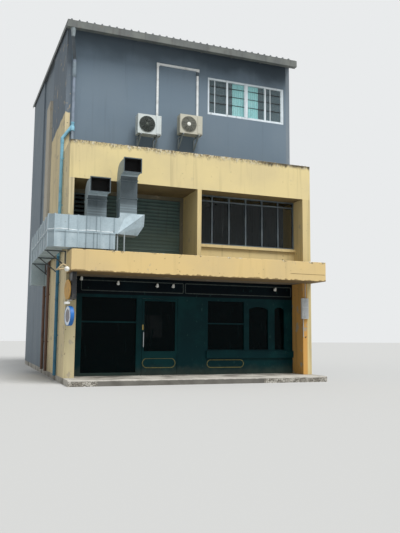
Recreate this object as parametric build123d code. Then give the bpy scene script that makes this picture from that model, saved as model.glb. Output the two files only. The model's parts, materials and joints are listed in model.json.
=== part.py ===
"""Corner shop building: two shop bays, a recessed first storey, an added grey storey and a metal roof.

Lengths are millimetres. Inside this file X runs from the outer face of the left side wall to the
party line, Y runs back from the front plane of the piers, and Z runs up from the ground. On export
every piece moves so that the origin is the middle of the building's plan, on the ground.
"""
import math
import os

from build123d import *

# plan
WIDTH = 7000
DEPTH = 11000
WALL = 130
MAIN_WALL_Y = 1200
SHOPFRONT_Y = 620
BAY_WINDOW_Y = 520
CANOPY_REACH = 800
STEP_REACH = 800
RIGHT = WIDTH - WALL
REAR = DEPTH - WALL

# storeys, canopy and sunshade
FLOOR_Z = 150
CANOPY_Z = 2740
SLAB = 130
CANOPY_TOP_Z = 3270
SUNSHADE_Z = 5210
SUNSHADE_TOP_Z = 6210
TOP_FLOOR_Z = 6500
FASCIA = 100
SUNSHADE_FASCIA = 120
GROOVE_LENGTH = 1100
GROOVE_RISE = 170
GROOVE = 14
CHAMFER = 12
THROUGH = 1

# roof, rising from the gutter to the rear
EAVE_Y = 760
EAVE_Z = 9790
ROOF_FALL = 0.12
ROOF_SHEET = 30
VERGE = 70
ROOF_REAR = 250
RIB_PITCH = 210
RIB_BASE = 60
RIB_TOP = 30
RIB_HEIGHT = 35
RAFTER = 50
RAFTERS = 8
GUTTER_FRONT_Y = 700
GUTTER_Z = 9590
GUTTER_HEIGHT = 190
GUTTER_DEPTH = 150
GUTTER_SHEET = 8

# left side wall
RECESS_START = 4200
RECESS_END = 7100
RECESS_DEPTH = 60
SHAFT_START = 4450
SHAFT_END = 5400
SHAFT_FOOT_Z = 3900
SHAFT_TOP_Z = 8840
SHAFT_PROUD = 60

# piers and fins
PIER_WIDTH = 140
FIN_WIDTH = 120
FIN_LEFT_OF_MIDDLE = 20
RIGHT_FIN_WIDTH = 250
FIN_START = WIDTH / 2 - FIN_LEFT_OF_MIDDLE
FIN_END = FIN_START + FIN_WIDTH
RIGHT_FIN_START = WIDTH - RIGHT_FIN_WIDTH

# window frames and glass
WINDOW_FRAME = 55
WINDOW_DEPTH = 70
WINDOW_SETBACK = 20
GLASS = 6
TOP_WINDOW_FROM_PARTY = 200
TOP_WINDOW_WIDTH = 2580
TOP_WINDOW_Z = (7860, 9020)
TOP_WINDOW_LIGHTS = 4
TOP_WINDOW_X = (WIDTH - TOP_WINDOW_FROM_PARTY - TOP_WINDOW_WIDTH, WIDTH - TOP_WINDOW_FROM_PARTY)
CURTAIN = 40
CURTAIN_MARGIN = 70

# first storey, left bay
SHUTTER_Z = (3400, 5100)
LOUVRE_FROM_LEFT = 300
LOUVRE_WIDTH = 400
LOUVRE_FRAME = 40
LOUVRE_BLADE = 8
LOUVRE_BLADE_PITCH = 120
SHUTTER_GAP = 60
SHUTTER_FROM_FIN = 100
SHUTTER_SHEET = 12
SHUTTER_RIB = 14
SHUTTER_RIB_PITCH = 100

# first storey, right bay
BAY_SILL_Z = 3700
BAY_LEDGE = 80
BAY_LEDGE_REACH = 60
BAY_TRANSOM_Z = 5035
BAY_LIGHTS = 6
BAY_BAR = 40

# shopfront
SHOP_FRAME_DEPTH = 90
SHOP_BAR = 40
SHOP_TRANSOM_Z = 1560
SIGN_BOARD_Z = 2290
SIGN_BOARD_DEPTH = 60
SIGN_MARGIN = 80
SIGN_START_MARGIN = 210
SIGN_PANEL_GAP = 40
SIGN_SPLIT_FROM_FIN = 140
SIGN_CORNER = 45
BEAD = 22
BEAD_PROUD = 8
SHOP_WINDOW_STILE = 250
SHOP_WINDOW_WIDTH = 1470
SHOP_WINDOW_Z = (230, 2210)
DOOR_POST = 110
RISER_TOP_Z = 600
SILL_TOP_Z = 790
SILL_REACH = 55
WIDE_LIGHT_WIDTH = 1110
WIDE_LIGHT_TOP_Z = 2190
WIDE_LIGHT_STILE = 50
WIDE_POST = 160
ARCH_LIGHT_WIDTHS = (610, 320)
ARCH_POST = 210
ARCH_END_POST = 270
ARCH_TOP_Z = 2060
ARCH_RISE = 70
RISER_PANEL_Z = (330, 560)
RISER_PANEL_WIDTH = 1130

# shop door
DOOR_BAY_WIDTH = 1100
DOOR_JAMB = 45
DOOR_HEAD_Z = 2210
DOOR_GAP = 8
DOOR_LEAF = 45
DOOR_STILE = 60
DOOR_LOCK_RAIL_Z = 790
DOOR_PANEL_Z = (340, 610)
DOOR_PANEL_MARGIN = 12
HINGE_ZS = (400, 1180, 1960)
HINGE_HEIGHT = 100
HINGE_RADIUS = 11
HINGE_PIN = 6
HINGE_LEAF = 30
HINGE_PLATE = 4
HINGE_STAND_OFF = 1
RUNNING_GAP = 0.3
HANDLE_Z = (900, 1300)
HANDLE_RADIUS = 12
HANDLE_STEM = 8
HANDLE_STAND_OFF = 45
HANDLE_STEM_INSET = 50

# shopfront runs, from the left pier to the right one
SHOPFRONT_START = WALL + PIER_WIDTH
SHOPFRONT_END = RIGHT - PIER_WIDTH
SHOP_WINDOW_X = (SHOPFRONT_START + SHOP_WINDOW_STILE, SHOPFRONT_START + SHOP_WINDOW_STILE + SHOP_WINDOW_WIDTH)
DOOR_BAY_X = (SHOP_WINDOW_X[1] + DOOR_POST, SHOP_WINDOW_X[1] + DOOR_POST + DOOR_BAY_WIDTH)
LAST_ARCH_X = (SHOPFRONT_END - ARCH_END_POST - ARCH_LIGHT_WIDTHS[1], SHOPFRONT_END - ARCH_END_POST)
FIRST_ARCH_X = (LAST_ARCH_X[0] - ARCH_POST - ARCH_LIGHT_WIDTHS[0], LAST_ARCH_X[0] - ARCH_POST)
WIDE_LIGHT_X = (FIRST_ARCH_X[0] - WIDE_POST - WIDE_LIGHT_WIDTH, FIRST_ARCH_X[0] - WIDE_POST)
MIDDLE_PANEL_END_X = WIDE_LIGHT_X[0] - WIDE_LIGHT_STILE

# sign lamps, hanging signs and meter box
LEFT_LAMPS = ((470, 2700), (1445, 2615), (2530, 2585), (2985, 2590))
RIGHT_LAMP_FROM_PARTY = 890
RIGHT_LAMP_Z = 2600
LAMP_ARM = 140
LAMP_ARM_RADIUS = 8
LAMP_HEAD = 90
LAMP_HEAD_RADII = (22, 45)
LAMP_TILT = 35
SIGN_CASE_X = (70, 180)
SIGN_CASE_Y = (-560, -60)
SIGN_CASE_HEIGHT = 670
OVAL_RADIUS = 245
OVAL_THICKNESS = 30
OVAL_X = 10
DRUM_X = 56
DRUM_Y = -360
DRUM_Z = 1670
DRUM_RADIUS = 240
DRUM_THICKNESS = 90
SIGN_TURN = 9
SIGN_PIN = 15
METER_BOX = (220, 60, 590)
METER_BOX_FROM_PARTY = 112
METER_BOX_Z = 1720

# air conditioning condensers on the upper wall
CONDENSER_SIZE = (690, 290, 560)
CONDENSER_ZS = (6850, 7010)
CONDENSER_FROM_WINDOW = 340
CONDENSER_PITCH = 1245
CONDENSER_GAP = 190
CONDENSER_SHEET = 20
CONDENSER_CORNER = 14
FAN_RADIUS = 225
FAN_OFFSET_X = 270
FAN_FROM_FRONT = 90
FAN_RIM = 14
FAN_RIM_PROUD = 10
FAN_HUB_RADIUS = 45
FAN_HUB_LENGTH = 60
FAN_BLADES = 5
FAN_BLADE = (130, 6)
FAN_BLADE_PITCH = 35
FAN_TIP_GAP = 15
FAN_BLADE_SUNK = 3
FAN_SHAFT = 8
MOTOR = 100
MOTOR_GAP = 20
BRACKET_BAR = 30
BRACKET_DROP = 350
BRACKET_FOOT = 40
BRACKET_INSET = 0.15
BRACKET_TOE = 20
TRUNKING_INSET = 35
TRUNKING = (60, 40)
TRUNKING_TOP_Z = 9190
TRUNKING_DROP = 130

# extract duct
DUCT_FRONT_Y = -560
DUCT_BACK_Y = -110
DUCT_OUTER_X = -530
DUCT_INNER_X = -120
DUCT_FOOT_Z = 3330
DUCT_SPLIT_Z = 3730
DUCT_TOP_Z = 4130
DUCT_UPPER_END_X = 1150
DUCT_LOWER_END_X = 1100
DUCT_SIDE_END_Y = 3600
DUCT_CORNER = 130
DUCT_ELBOW_RADIUS = 300
DUCT_DROP_DEPTH = 450
DUCT_DROP_FOOT_Z = 2700
DUCT_STUB_HEIGHT = 350
DUCT_STUB_INSET = 50
SEAM = 30
SEAM_PROUD = 14
SEAM_PITCH = 560
LEVEL_SEAM = 44

# hopper between the duct's end and the tall stack
HOPPER_SHOULDER_X = 1390
HOPPER_END_X = 1840
HOPPER_TOE_X = 1690
HOPPER_TOP_Z = 4270
HOPPER_END_FOOT_Z = 3980
HOPPER_FOLD = 55

# exhaust stacks
STACK_Y = (-520, -110)
SHORT_STACK_X = (390, 870)
TALL_STACK_X = (1210, 1650)
SHORT_STACK_TOP_Z = 5040
TALL_STACK_TOP_Z = 5610
STACK_MOUTH_Y = -900
STACK_MOUTH_HEIGHT = 350
STACK_MOUTH_DEPTH = 260
STACK_THROAT = 110
STACK_CROWN = 330
STACK_SEAM_PITCH = 460
DUCT_SHEET = 8

# duct supports
SUPPORT_BAR = 30
SUPPORT_INSET = 40
LEG_XS = (120, 900)
HOPPER_LEG_XS = (1150, 1325)
WALL_BRACKET_YS = (150, 1800, 3400)
WALL_BRACKET_DROP = 400

# rear windows
REAR_WINDOW_SIZE = (1300, 1100)
REAR_SILLS_Z = (1050, 3800, 7500)

# pipes
PIPE_RADIUS = 45
PIPE_OFF_WALL = 65
SOCKET = 6
SOCKET_LENGTH = 90
OUTLET_X = 90
OUTLET_DROP = 250
GUTTER_PIPE_X = 200
GUTTER_PIPE_TOP_Z = 8890
GUTTER_PIPE_JOINT_Z = 7100
GUTTER_PIPE_FOOT_Z = 6950
GUTTER_PIPE_CLIP_Z = 8015
CORNER_PIPE_TOP_Z = 6560
CORNER_PIPE_CLIP_ZS = (1200, 2600, 4700, 6000)
SOIL_PIPE_YS = (3250, 4250)
SOIL_PIPE_TOP_Z = 3900
SOIL_PIPE_CLIP_ZS = (1000, 2400, 3200)
CLIP = 30


def block(x, y, z):
    """Box given by its two limits along each axis."""
    size = Box(x[1] - x[0], y[1] - y[0], z[1] - z[0], align=(Align.MIN, Align.MIN, Align.MIN))
    return Pos(x[0], y[0], z[0]) * size


def side_profile(points, x):
    """Solid with a straight-sided outline in Y and Z, between two X values."""
    face = make_face(Polyline(*[(x[0], y, z) for y, z in points], close=True))
    return extrude(face, amount=x[1] - x[0], dir=(1, 0, 0))


def line_at(x, points):
    """Joined straight lines in Y and Z, at one X value."""
    return Polyline(*[(x, y, z) for y, z in points])


def rounded(x, start, corner, end):
    """Quarter circle in Y and Z at one X value, inside a square corner."""
    bend = 1 - math.sqrt(0.5)
    middle = [knee + (a + b - 2 * knee) * bend for a, knee, b in zip(start, corner, end)]
    return ThreePointArc((x, *start), (x, *middle), (x, *end))


def faceted(faces):
    """Solid closed by flat faces, each given by its corners."""
    return Solid(Shell([make_face(Polyline(*corners, close=True)).face() for corners in faces]))


def standing_rod(radius, x, y, z):
    """Round bar along Z."""
    rod = Cylinder(radius, z[1] - z[0], align=(Align.CENTER, Align.CENTER, Align.MIN))
    return Pos(x, y, z[0]) * rod


def lying_rod(radius, x, y, z):
    """Round bar along Y."""
    return Pos(x, (y[0] + y[1]) / 2, z) * Rot(90, 0, 0) * Cylinder(radius, y[1] - y[0])


def cross_rod(radius, x, y, z):
    """Round bar along X."""
    return Pos((x[0] + x[1]) / 2, y, z) * Rot(0, 90, 0) * Cylinder(radius, x[1] - x[0])


def group(parts):
    """Solids of one node, kept apart."""
    return Compound(children=list(parts))


def fuse(parts):
    """One solid out of parts that meet."""
    parts = list(parts)
    shape = parts[0]
    for other in parts[1:]:
        shape = shape + other
    return shape


def roof_z(y):
    """Height of the roof sheet's underside."""
    return EAVE_Z + ROOF_FALL * (y - EAVE_Y)


def save(name, shape):
    """Write one node, moved to the shared origin."""
    export_step(Pos(-WIDTH / 2, -DEPTH / 2, 0) * shape, f"parts/{name}.step")


def edges(limits, frame, lines, bar):
    """Clear stretches along one axis, between a frame's sides and its bars."""
    starts = [limits[0] + frame] + [line + bar / 2 for line in lines]
    ends = [line - bar / 2 for line in lines] + [limits[1] - frame]
    return list(zip(starts, ends))


def even_bars(limits, count):
    """Centre lines of the bars that split a width into equal lights."""
    pitch = (limits[1] - limits[0]) / count
    return [limits[0] + pitch * step for step in range(1, count)]


def lights(x, z, frame, count):
    """Clear openings of a frame with upright bars."""
    rows = [(z[0] + frame, z[1] - frame)]
    return [(column, row) for column in edges(x, frame, even_bars(x, count), frame) for row in rows]


def framed(x, y, z, openings):
    """Flat frame with rectangular openings cut through."""
    shape = block(x, y, z)
    for column, row in openings:
        shape -= block(column, (y[0] - THROUGH, y[1] + THROUGH), row)
    return shape


def panes(openings, y):
    """One pane of glass for each opening."""
    middle = (y[0] + y[1]) / 2
    return [block(column, (middle - GLASS / 2, middle + GLASS / 2), row) for column, row in openings]


def window_y(wall_y):
    """Front and back of a window frame set in a wall."""
    return (wall_y + WINDOW_SETBACK, wall_y + WINDOW_SETBACK + WINDOW_DEPTH)


def bead(outer, inner, centre):
    """Raised line between two outlines on the shopfront's face."""
    face = Plane(origin=(centre[0], SHOPFRONT_Y, centre[1]), x_dir=(1, 0, 0), z_dir=(0, -1, 0))
    return extrude(face * (outer - inner), amount=BEAD_PROUD)


def oblong_bead(x, z):
    """Raised line with round ends."""
    size = (x[1] - x[0], z[1] - z[0])
    centre = ((x[0] + x[1]) / 2, (z[0] + z[1]) / 2)
    return bead(SlotOverall(*size), SlotOverall(size[0] - 2 * BEAD, size[1] - 2 * BEAD), centre)


def panel_bead(x, z):
    """Raised line with small round corners."""
    size = (x[1] - x[0], z[1] - z[0])
    centre = ((x[0] + x[1]) / 2, (z[0] + z[1]) / 2)
    inner = RectangleRounded(size[0] - 2 * BEAD, size[1] - 2 * BEAD, SIGN_CORNER - BEAD)
    return bead(RectangleRounded(*size, SIGN_CORNER), inner, centre)


def trough(outer_y, z, top_z):
    """Slab with a parapet along its front and at both ends, as the canopy has."""
    shape = block((0, WIDTH), (outer_y, 0), z)
    shape += block((0, WIDTH), (outer_y, outer_y + FASCIA), (z[0], top_z))
    for end_x in ((0, FASCIA), (WIDTH - FASCIA, WIDTH)):
        shape += block(end_x, (outer_y + FASCIA, 0), (z[1], top_z))
    return shape


def make_floors():
    """Ground slab with its front step, floor slabs, canopy trough and sunshade."""
    inner = (WALL, RIGHT)
    save("ground_slab", block((0, WIDTH), (-STEP_REACH, DEPTH), (0, FLOOR_Z)))
    canopy_z = (CANOPY_Z, CANOPY_Z + SLAB)
    first_floor = block(inner, (0, REAR), canopy_z)
    top_floor = block(inner, (MAIN_WALL_Y + WALL, REAR), (TOP_FLOOR_Z, TOP_FLOOR_Z + SLAB))
    save("floor_slabs", group([first_floor, top_floor]))
    canopy = trough(-CANOPY_REACH, canopy_z, CANOPY_TOP_Z)
    groove_z = (CANOPY_Z + GROOVE_RISE, CANOPY_Z + GROOVE_RISE + GROOVE)
    groove = block((WIDTH - GROOVE_LENGTH, WIDTH), (-CANOPY_REACH, GROOVE - CANOPY_REACH), groove_z)
    front_edges = (canopy - groove).edges().filter_by(Axis.X).group_by(Axis.Y)[0]
    save("canopy", chamfer(front_edges.filter_by(lambda edge: edge.center().Z == CANOPY_TOP_Z), CHAMFER))
    sunshade = block((0, WIDTH), (0, SUNSHADE_FASCIA), (SUNSHADE_Z, SUNSHADE_TOP_Z))
    sunshade += block(inner, (SUNSHADE_FASCIA, MAIN_WALL_Y), (SUNSHADE_Z, SUNSHADE_Z + SLAB))
    save("sunshade", sunshade)


def wall_outline(y0, y1):
    """Outline of a side wall: low beside the front trough, up to the roof behind it."""
    return [
        (y0, FLOOR_Z), (y0, SUNSHADE_Z), (SUNSHADE_FASCIA, SUNSHADE_Z), (SUNSHADE_FASCIA, SUNSHADE_TOP_Z),
        (MAIN_WALL_Y, SUNSHADE_TOP_Z), (MAIN_WALL_Y, roof_z(MAIN_WALL_Y)), (y1, roof_z(y1)), (y1, FLOOR_Z),
    ]


def wall_band(y):
    """Outline of a full-height stretch of wall between two Y values."""
    return [(y[0], FLOOR_Z), (y[0], roof_z(y[0])), (y[1], roof_z(y[1])), (y[1], FLOOR_Z)]


def make_side_walls():
    """Left wall in two lengths, the rear one with a shallow recess, and the party wall."""
    save("left_wall_front", side_profile(wall_outline(0, RECESS_START), (0, WALL)))
    rear = side_profile(wall_band((RECESS_START, DEPTH)), (0, WALL))
    recess = block((0, RECESS_DEPTH), (RECESS_START, RECESS_END), (CANOPY_TOP_Z, roof_z(RECESS_END)))
    save("left_wall_rear", rear - recess)
    save("party_wall", side_profile(wall_outline(0, DEPTH), (RIGHT, WIDTH)))
    shaft_x = (-SHAFT_PROUD, RECESS_DEPTH)
    save("side_shaft", block(shaft_x, (SHAFT_START, SHAFT_END), (SHAFT_FOOT_Z, SHAFT_TOP_Z)))


def make_rear_wall():
    """Rear wall with two windows on each storey, and their frames; returns their glass."""
    wall = side_profile(wall_band((REAR, DEPTH)), (WALL, RIGHT))
    frame_y = (DEPTH - WINDOW_SETBACK - WINDOW_DEPTH, DEPTH - WINDOW_SETBACK)
    frames = []
    glass = []
    for sill in REAR_SILLS_Z:
        for middle in (WIDTH / 4, WIDTH * 3 / 4):
            x = (middle - REAR_WINDOW_SIZE[0] / 2, middle + REAR_WINDOW_SIZE[0] / 2)
            z = (sill, sill + REAR_WINDOW_SIZE[1])
            wall -= block(x, (REAR - THROUGH, DEPTH + THROUGH), z)
            openings = lights(x, z, WINDOW_FRAME, 2)
            frames.append(framed(x, frame_y, z, openings))
            glass += panes(openings, frame_y)
    save("rear_wall", wall)
    save("rear_window_frames", group(frames))
    return glass


def make_upper_front():
    """Grey wall of the added storey, its window frame and the curtains behind; returns the glass."""
    y = (MAIN_WALL_Y, MAIN_WALL_Y + WALL)
    outline = [(y[0], SUNSHADE_Z), (y[0], roof_z(y[0])), (y[1], roof_z(y[1])), (y[1], SUNSHADE_Z)]
    wall = side_profile(outline, (WALL, RIGHT)) - block(TOP_WINDOW_X, (y[0] - THROUGH, y[1] + THROUGH), TOP_WINDOW_Z)
    save("upper_front_wall", wall)
    frame_y = window_y(y[0])
    openings = lights(TOP_WINDOW_X, TOP_WINDOW_Z, WINDOW_FRAME, TOP_WINDOW_LIGHTS)
    save("top_window_frame", framed(TOP_WINDOW_X, frame_y, TOP_WINDOW_Z, openings))
    curtain_y = (y[1], y[1] + CURTAIN)
    curtain_z = (TOP_WINDOW_Z[0] - CURTAIN_MARGIN, TOP_WINDOW_Z[1] + CURTAIN_MARGIN)
    save("top_curtains", group([block(column, curtain_y, curtain_z) for column, _ in openings[1:-1]]))
    return panes(openings, frame_y)


def make_left_bay():
    """Recessed wall of the first storey's left bay, with its louvre and ribbed shutter."""
    y = (MAIN_WALL_Y, MAIN_WALL_Y + WALL)
    louvre_x = (LOUVRE_FROM_LEFT, LOUVRE_FROM_LEFT + LOUVRE_WIDTH)
    shutter_x = (louvre_x[1] + SHUTTER_GAP, FIN_START - SHUTTER_FROM_FIN)
    wall_z = (CANOPY_Z + SLAB, SUNSHADE_Z)
    save("recess_wall", framed((WALL, FIN_START), y, wall_z, [(louvre_x, SHUTTER_Z), (shutter_x, SHUTTER_Z)]))
    frame_y = window_y(y[0])
    inner_x = (louvre_x[0] + LOUVRE_FRAME, louvre_x[1] - LOUVRE_FRAME)
    inner_z = (SHUTTER_Z[0] + LOUVRE_FRAME, SHUTTER_Z[1] - LOUVRE_FRAME)
    louvre = framed(louvre_x, frame_y, SHUTTER_Z, [(inner_x, inner_z)])
    for step in range(int((inner_z[1] - inner_z[0]) // LOUVRE_BLADE_PITCH)):
        low = inner_z[0] + LOUVRE_BLADE_PITCH * (step + 0.5)
        high = low + WINDOW_DEPTH
        front_edge = [(frame_y[0], low), (frame_y[0], low + LOUVRE_BLADE)]
        back_edge = [(frame_y[1], high + LOUVRE_BLADE), (frame_y[1], high)]
        louvre += side_profile(front_edge + back_edge, inner_x)
    save("louvre_window", louvre)
    sheet_y = (frame_y[0] + SHUTTER_RIB, frame_y[0] + SHUTTER_RIB + SHUTTER_SHEET)
    shutter = block(shutter_x, sheet_y, SHUTTER_Z)
    for step in range(int((SHUTTER_Z[1] - SHUTTER_Z[0]) // SHUTTER_RIB_PITCH)):
        low = SHUTTER_Z[0] + SHUTTER_RIB_PITCH * (step + 0.25)
        shutter += block(shutter_x, (frame_y[0], sheet_y[0]), (low, low + SHUTTER_RIB_PITCH / 2))
    save("shutter_sheet", shutter)


def make_right_bay():
    """Window frame that closes the first storey's right bay, on a low wall; returns its glass."""
    x = (FIN_END, RIGHT_FIN_START)
    y = (BAY_WINDOW_Y, BAY_WINDOW_Y + WALL)
    sill_top = BAY_SILL_Z + BAY_LEDGE
    ledge = block(x, (y[0] - BAY_LEDGE_REACH, y[1]), (BAY_SILL_Z, sill_top))
    save("bay_sill_wall", block(x, y, (CANOPY_Z + SLAB, BAY_SILL_Z)) + ledge)
    frame_y = window_y(y[0])
    rows = edges((sill_top, SUNSHADE_Z), BAY_BAR, [BAY_TRANSOM_Z], BAY_BAR)
    columns = edges(x, BAY_BAR, even_bars(x, BAY_LIGHTS), BAY_BAR)
    openings = [(column, row) for column in columns for row in rows]
    save("bay_window_frame", framed(x, frame_y, (sill_top, SUNSHADE_Z), openings))
    return panes(openings, frame_y)


def make_piers():
    """Ground piers beside the shopfront and the fins of the first storey."""
    pier_y = (0, SHOPFRONT_Y)
    pier_z = (FLOOR_Z, CANOPY_Z)
    left = block((WALL, SHOPFRONT_START), pier_y, pier_z)
    right = block((SHOPFRONT_END, RIGHT), pier_y, pier_z)
    save("ground_piers", group([left, right]))
    fin_z = (CANOPY_Z + SLAB, SUNSHADE_Z)
    middle_fin = block((FIN_START, FIN_END), (0, MAIN_WALL_Y + WALL), fin_z)
    right_fin = block((RIGHT_FIN_START, RIGHT), (0, MAIN_WALL_Y), fin_z)
    save("fins", group([middle_fin, right_fin]))


def make_roof():
    """Ribbed roof sheet, rafter ends under it, and the gutter at its lower edge."""
    x = (-VERGE, WIDTH)
    foot = roof_z(EAVE_Y)
    outline = [(x[0], foot), (x[0], foot + ROOF_SHEET)]
    for step in range(int((x[1] - x[0]) // RIB_PITCH)):
        middle = x[0] + RIB_PITCH * (step + 0.5)
        for offset, rise in ((-RIB_BASE, 0), (-RIB_TOP, RIB_HEIGHT), (RIB_TOP, RIB_HEIGHT), (RIB_BASE, 0)):
            outline.append((middle + offset / 2, foot + ROOF_SHEET + rise))
    outline += [(x[1], foot + ROOF_SHEET), (x[1], foot)]
    section = make_face(Polyline(*[(across, EAVE_Y, z) for across, z in outline], close=True))
    length = (DEPTH + ROOF_REAR - EAVE_Y) * math.hypot(1, ROOF_FALL)
    save("roof_sheet", extrude(section, amount=length, dir=(0, 1, ROOF_FALL)))
    y = (GUTTER_FRONT_Y, GUTTER_FRONT_Y + GUTTER_DEPTH)
    rafter = [
        (y[1], roof_z(y[1])), (MAIN_WALL_Y, roof_z(MAIN_WALL_Y)),
        (MAIN_WALL_Y, roof_z(MAIN_WALL_Y) - 2 * RAFTER), (y[1], roof_z(y[1]) - 2 * RAFTER),
    ]
    pitch = (WIDTH - 2 * RAFTER) / (RAFTERS - 1)
    starts = [RAFTER / 2 + pitch * step for step in range(RAFTERS)]
    save("rafter_ends", group([side_profile(rafter, (start, start + RAFTER)) for start in starts]))
    inner_x = (x[0] + GUTTER_SHEET, x[1] - GUTTER_SHEET)
    inner_y = (y[0] + GUTTER_SHEET, y[1] - GUTTER_SHEET)
    channel = block(inner_x, inner_y, (GUTTER_Z + GUTTER_SHEET, GUTTER_Z + GUTTER_HEIGHT))
    save("gutter", block(x, y, (GUTTER_Z, GUTTER_Z + GUTTER_HEIGHT)) - channel)


def make_sign_board():
    """Board over the shopfront with two bordered panels."""
    board_y = (SHOPFRONT_Y, SHOPFRONT_Y + SIGN_BOARD_DEPTH)
    board = block((SHOPFRONT_START, SHOPFRONT_END), board_y, (SIGN_BOARD_Z, CANOPY_Z))
    panel_z = (SIGN_BOARD_Z + SIGN_MARGIN, CANOPY_Z - SIGN_MARGIN)
    split = FIN_START - SIGN_SPLIT_FROM_FIN
    board += panel_bead((SHOPFRONT_START + SIGN_START_MARGIN, split - SIGN_PANEL_GAP / 2), panel_z)
    board += panel_bead((split + SIGN_PANEL_GAP / 2, SHOPFRONT_END - SIGN_PANEL_GAP), panel_z)
    save("sign_board", board)


def make_shopfront():
    """Glazed frames, panel, stall riser and sill of the shopfront."""
    y = (SHOPFRONT_Y, SHOPFRONT_Y + SHOP_FRAME_DEPTH)
    full_z = (FLOOR_Z, SIGN_BOARD_Z)
    rows = edges(SHOP_WINDOW_Z, 0, [SHOP_TRANSOM_Z], SHOP_BAR)
    openings = [(SHOP_WINDOW_X, row) for row in rows]
    save("shop_window_frame", framed((SHOPFRONT_START, DOOR_BAY_X[0]), y, full_z, openings))
    save("middle_panel", block((DOOR_BAY_X[1], MIDDLE_PANEL_END_X), y, full_z))
    right_x = (MIDDLE_PANEL_END_X, SHOPFRONT_END)
    riser = block(right_x, y, (FLOOR_Z, RISER_TOP_Z))
    panel_x = (right_x[0] + BEAD, right_x[0] + BEAD + RISER_PANEL_WIDTH)
    save("stall_riser", riser + oblong_bead(panel_x, RISER_PANEL_Z))
    save("window_sill", block(right_x, (y[0] - SILL_REACH, y[1]), (RISER_TOP_Z, SILL_TOP_Z)))
    save("shopfront_glass", group(panes(openings, y) + make_right_glazing(right_x, y)))


def arch_light(x, y):
    """Opening with a shallow arched head."""
    spring = ARCH_TOP_Z - ARCH_RISE
    middle = (x[0] + x[1]) / 2
    foot = SILL_TOP_Z + SHOP_BAR
    sides = Polyline((x[1], y[0], spring), (x[1], y[0], foot), (x[0], y[0], foot), (x[0], y[0], spring))
    head = ThreePointArc((x[0], y[0], spring), (middle, y[0], ARCH_TOP_Z), (x[1], y[0], spring))
    return extrude(make_face(sides + head), amount=y[1] - y[0], dir=(0, 1, 0))


def make_right_glazing(x, y):
    """Frame of the right shop windows; returns their glass."""
    cut = (y[0] - THROUGH, y[1] + THROUGH)
    middle = (y[0] + y[1]) / 2
    rows = edges((SILL_TOP_Z + SHOP_BAR, WIDE_LIGHT_TOP_Z), 0, [SHOP_TRANSOM_Z], SHOP_BAR)
    openings = [(WIDE_LIGHT_X, row) for row in rows]
    frame = framed(x, y, (SILL_TOP_Z, SIGN_BOARD_Z), openings)
    glass = panes(openings, y)
    for light in (FIRST_ARCH_X, LAST_ARCH_X):
        frame -= arch_light(light, cut)
        glass.append(arch_light(light, (middle - GLASS / 2, middle + GLASS / 2)))
    save("right_window_frame", frame)
    return glass


def hinge_half(axis, side, z):
    """Barrel of a hinge with its plate, to the left (-1) or right (1) of the pin."""
    ends = sorted((axis[0] + side * DOOR_GAP / 2, axis[0] + side * (DOOR_GAP / 2 + HINGE_LEAF)))
    return standing_rod(HINGE_RADIUS, *axis, z) + block(ends, (SHOPFRONT_Y - HINGE_PLATE, SHOPFRONT_Y), z)


def door_hinges(axis):
    """The frame's halves and the leaf's halves of the hinges."""
    fixed = []
    moving = []
    third = HINGE_HEIGHT / 3
    for middle in HINGE_ZS:
        foot = middle - HINGE_HEIGHT / 2
        head = foot + HINGE_HEIGHT
        low = hinge_half(axis, 1, (foot, foot + third))
        high = hinge_half(axis, 1, (head - third, head))
        fixed.append(standing_rod(HINGE_PIN, *axis, (foot, head)) + low + high)
        knuckle = hinge_half(axis, -1, (foot + third + RUNNING_GAP, head - third - RUNNING_GAP))
        moving.append(knuckle - standing_rod(HINGE_PIN + RUNNING_GAP, *axis, (foot, head)))
    return fixed, moving


def door_handle(grip_x):
    """Upright pull bar on two stems."""
    grip_y = SHOPFRONT_Y - HANDLE_STAND_OFF
    bar = standing_rod(HANDLE_RADIUS, grip_x, grip_y, HANDLE_Z)
    for z in (HANDLE_Z[0] + HANDLE_STEM_INSET, HANDLE_Z[1] - HANDLE_STEM_INSET):
        bar += lying_rod(HANDLE_STEM, grip_x, (grip_y, SHOPFRONT_Y), z)
    return bar


def make_door():
    """Door frame, and the glazed shop door with its hinges and handle."""
    opening = (DOOR_BAY_X[0] + DOOR_JAMB, DOOR_BAY_X[1] - DOOR_JAMB)
    axis = (opening[1] - DOOR_GAP / 2, SHOPFRONT_Y - HINGE_RADIUS - HINGE_STAND_OFF)
    fixed, moving = door_hinges(axis)
    frame_y = (SHOPFRONT_Y, SHOPFRONT_Y + SHOP_FRAME_DEPTH)
    frame = framed(DOOR_BAY_X, frame_y, (FLOOR_Z, SIGN_BOARD_Z), [(opening, (FLOOR_Z, DOOR_HEAD_Z))])
    save("door_frame", fuse([frame] + fixed))
    x = (opening[0] + DOOR_GAP, opening[1] - DOOR_GAP)
    y = (SHOPFRONT_Y, SHOPFRONT_Y + DOOR_LEAF)
    z = (FLOOR_Z + DOOR_GAP, DOOR_HEAD_Z - DOOR_GAP)
    light = ((x[0] + DOOR_STILE, x[1] - DOOR_STILE), (DOOR_LOCK_RAIL_Z, z[1] - DOOR_STILE))
    panel = oblong_bead((x[0] + DOOR_PANEL_MARGIN, x[1] - HINGE_LEAF - DOOR_PANEL_MARGIN), DOOR_PANEL_Z)
    save("shop_door", fuse([framed(x, y, z, [light]), panel] + moving))
    save("shop_door_glass", group(panes([light], y)))
    save("door_handle", door_handle(x[0] + DOOR_STILE / 2))


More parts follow.
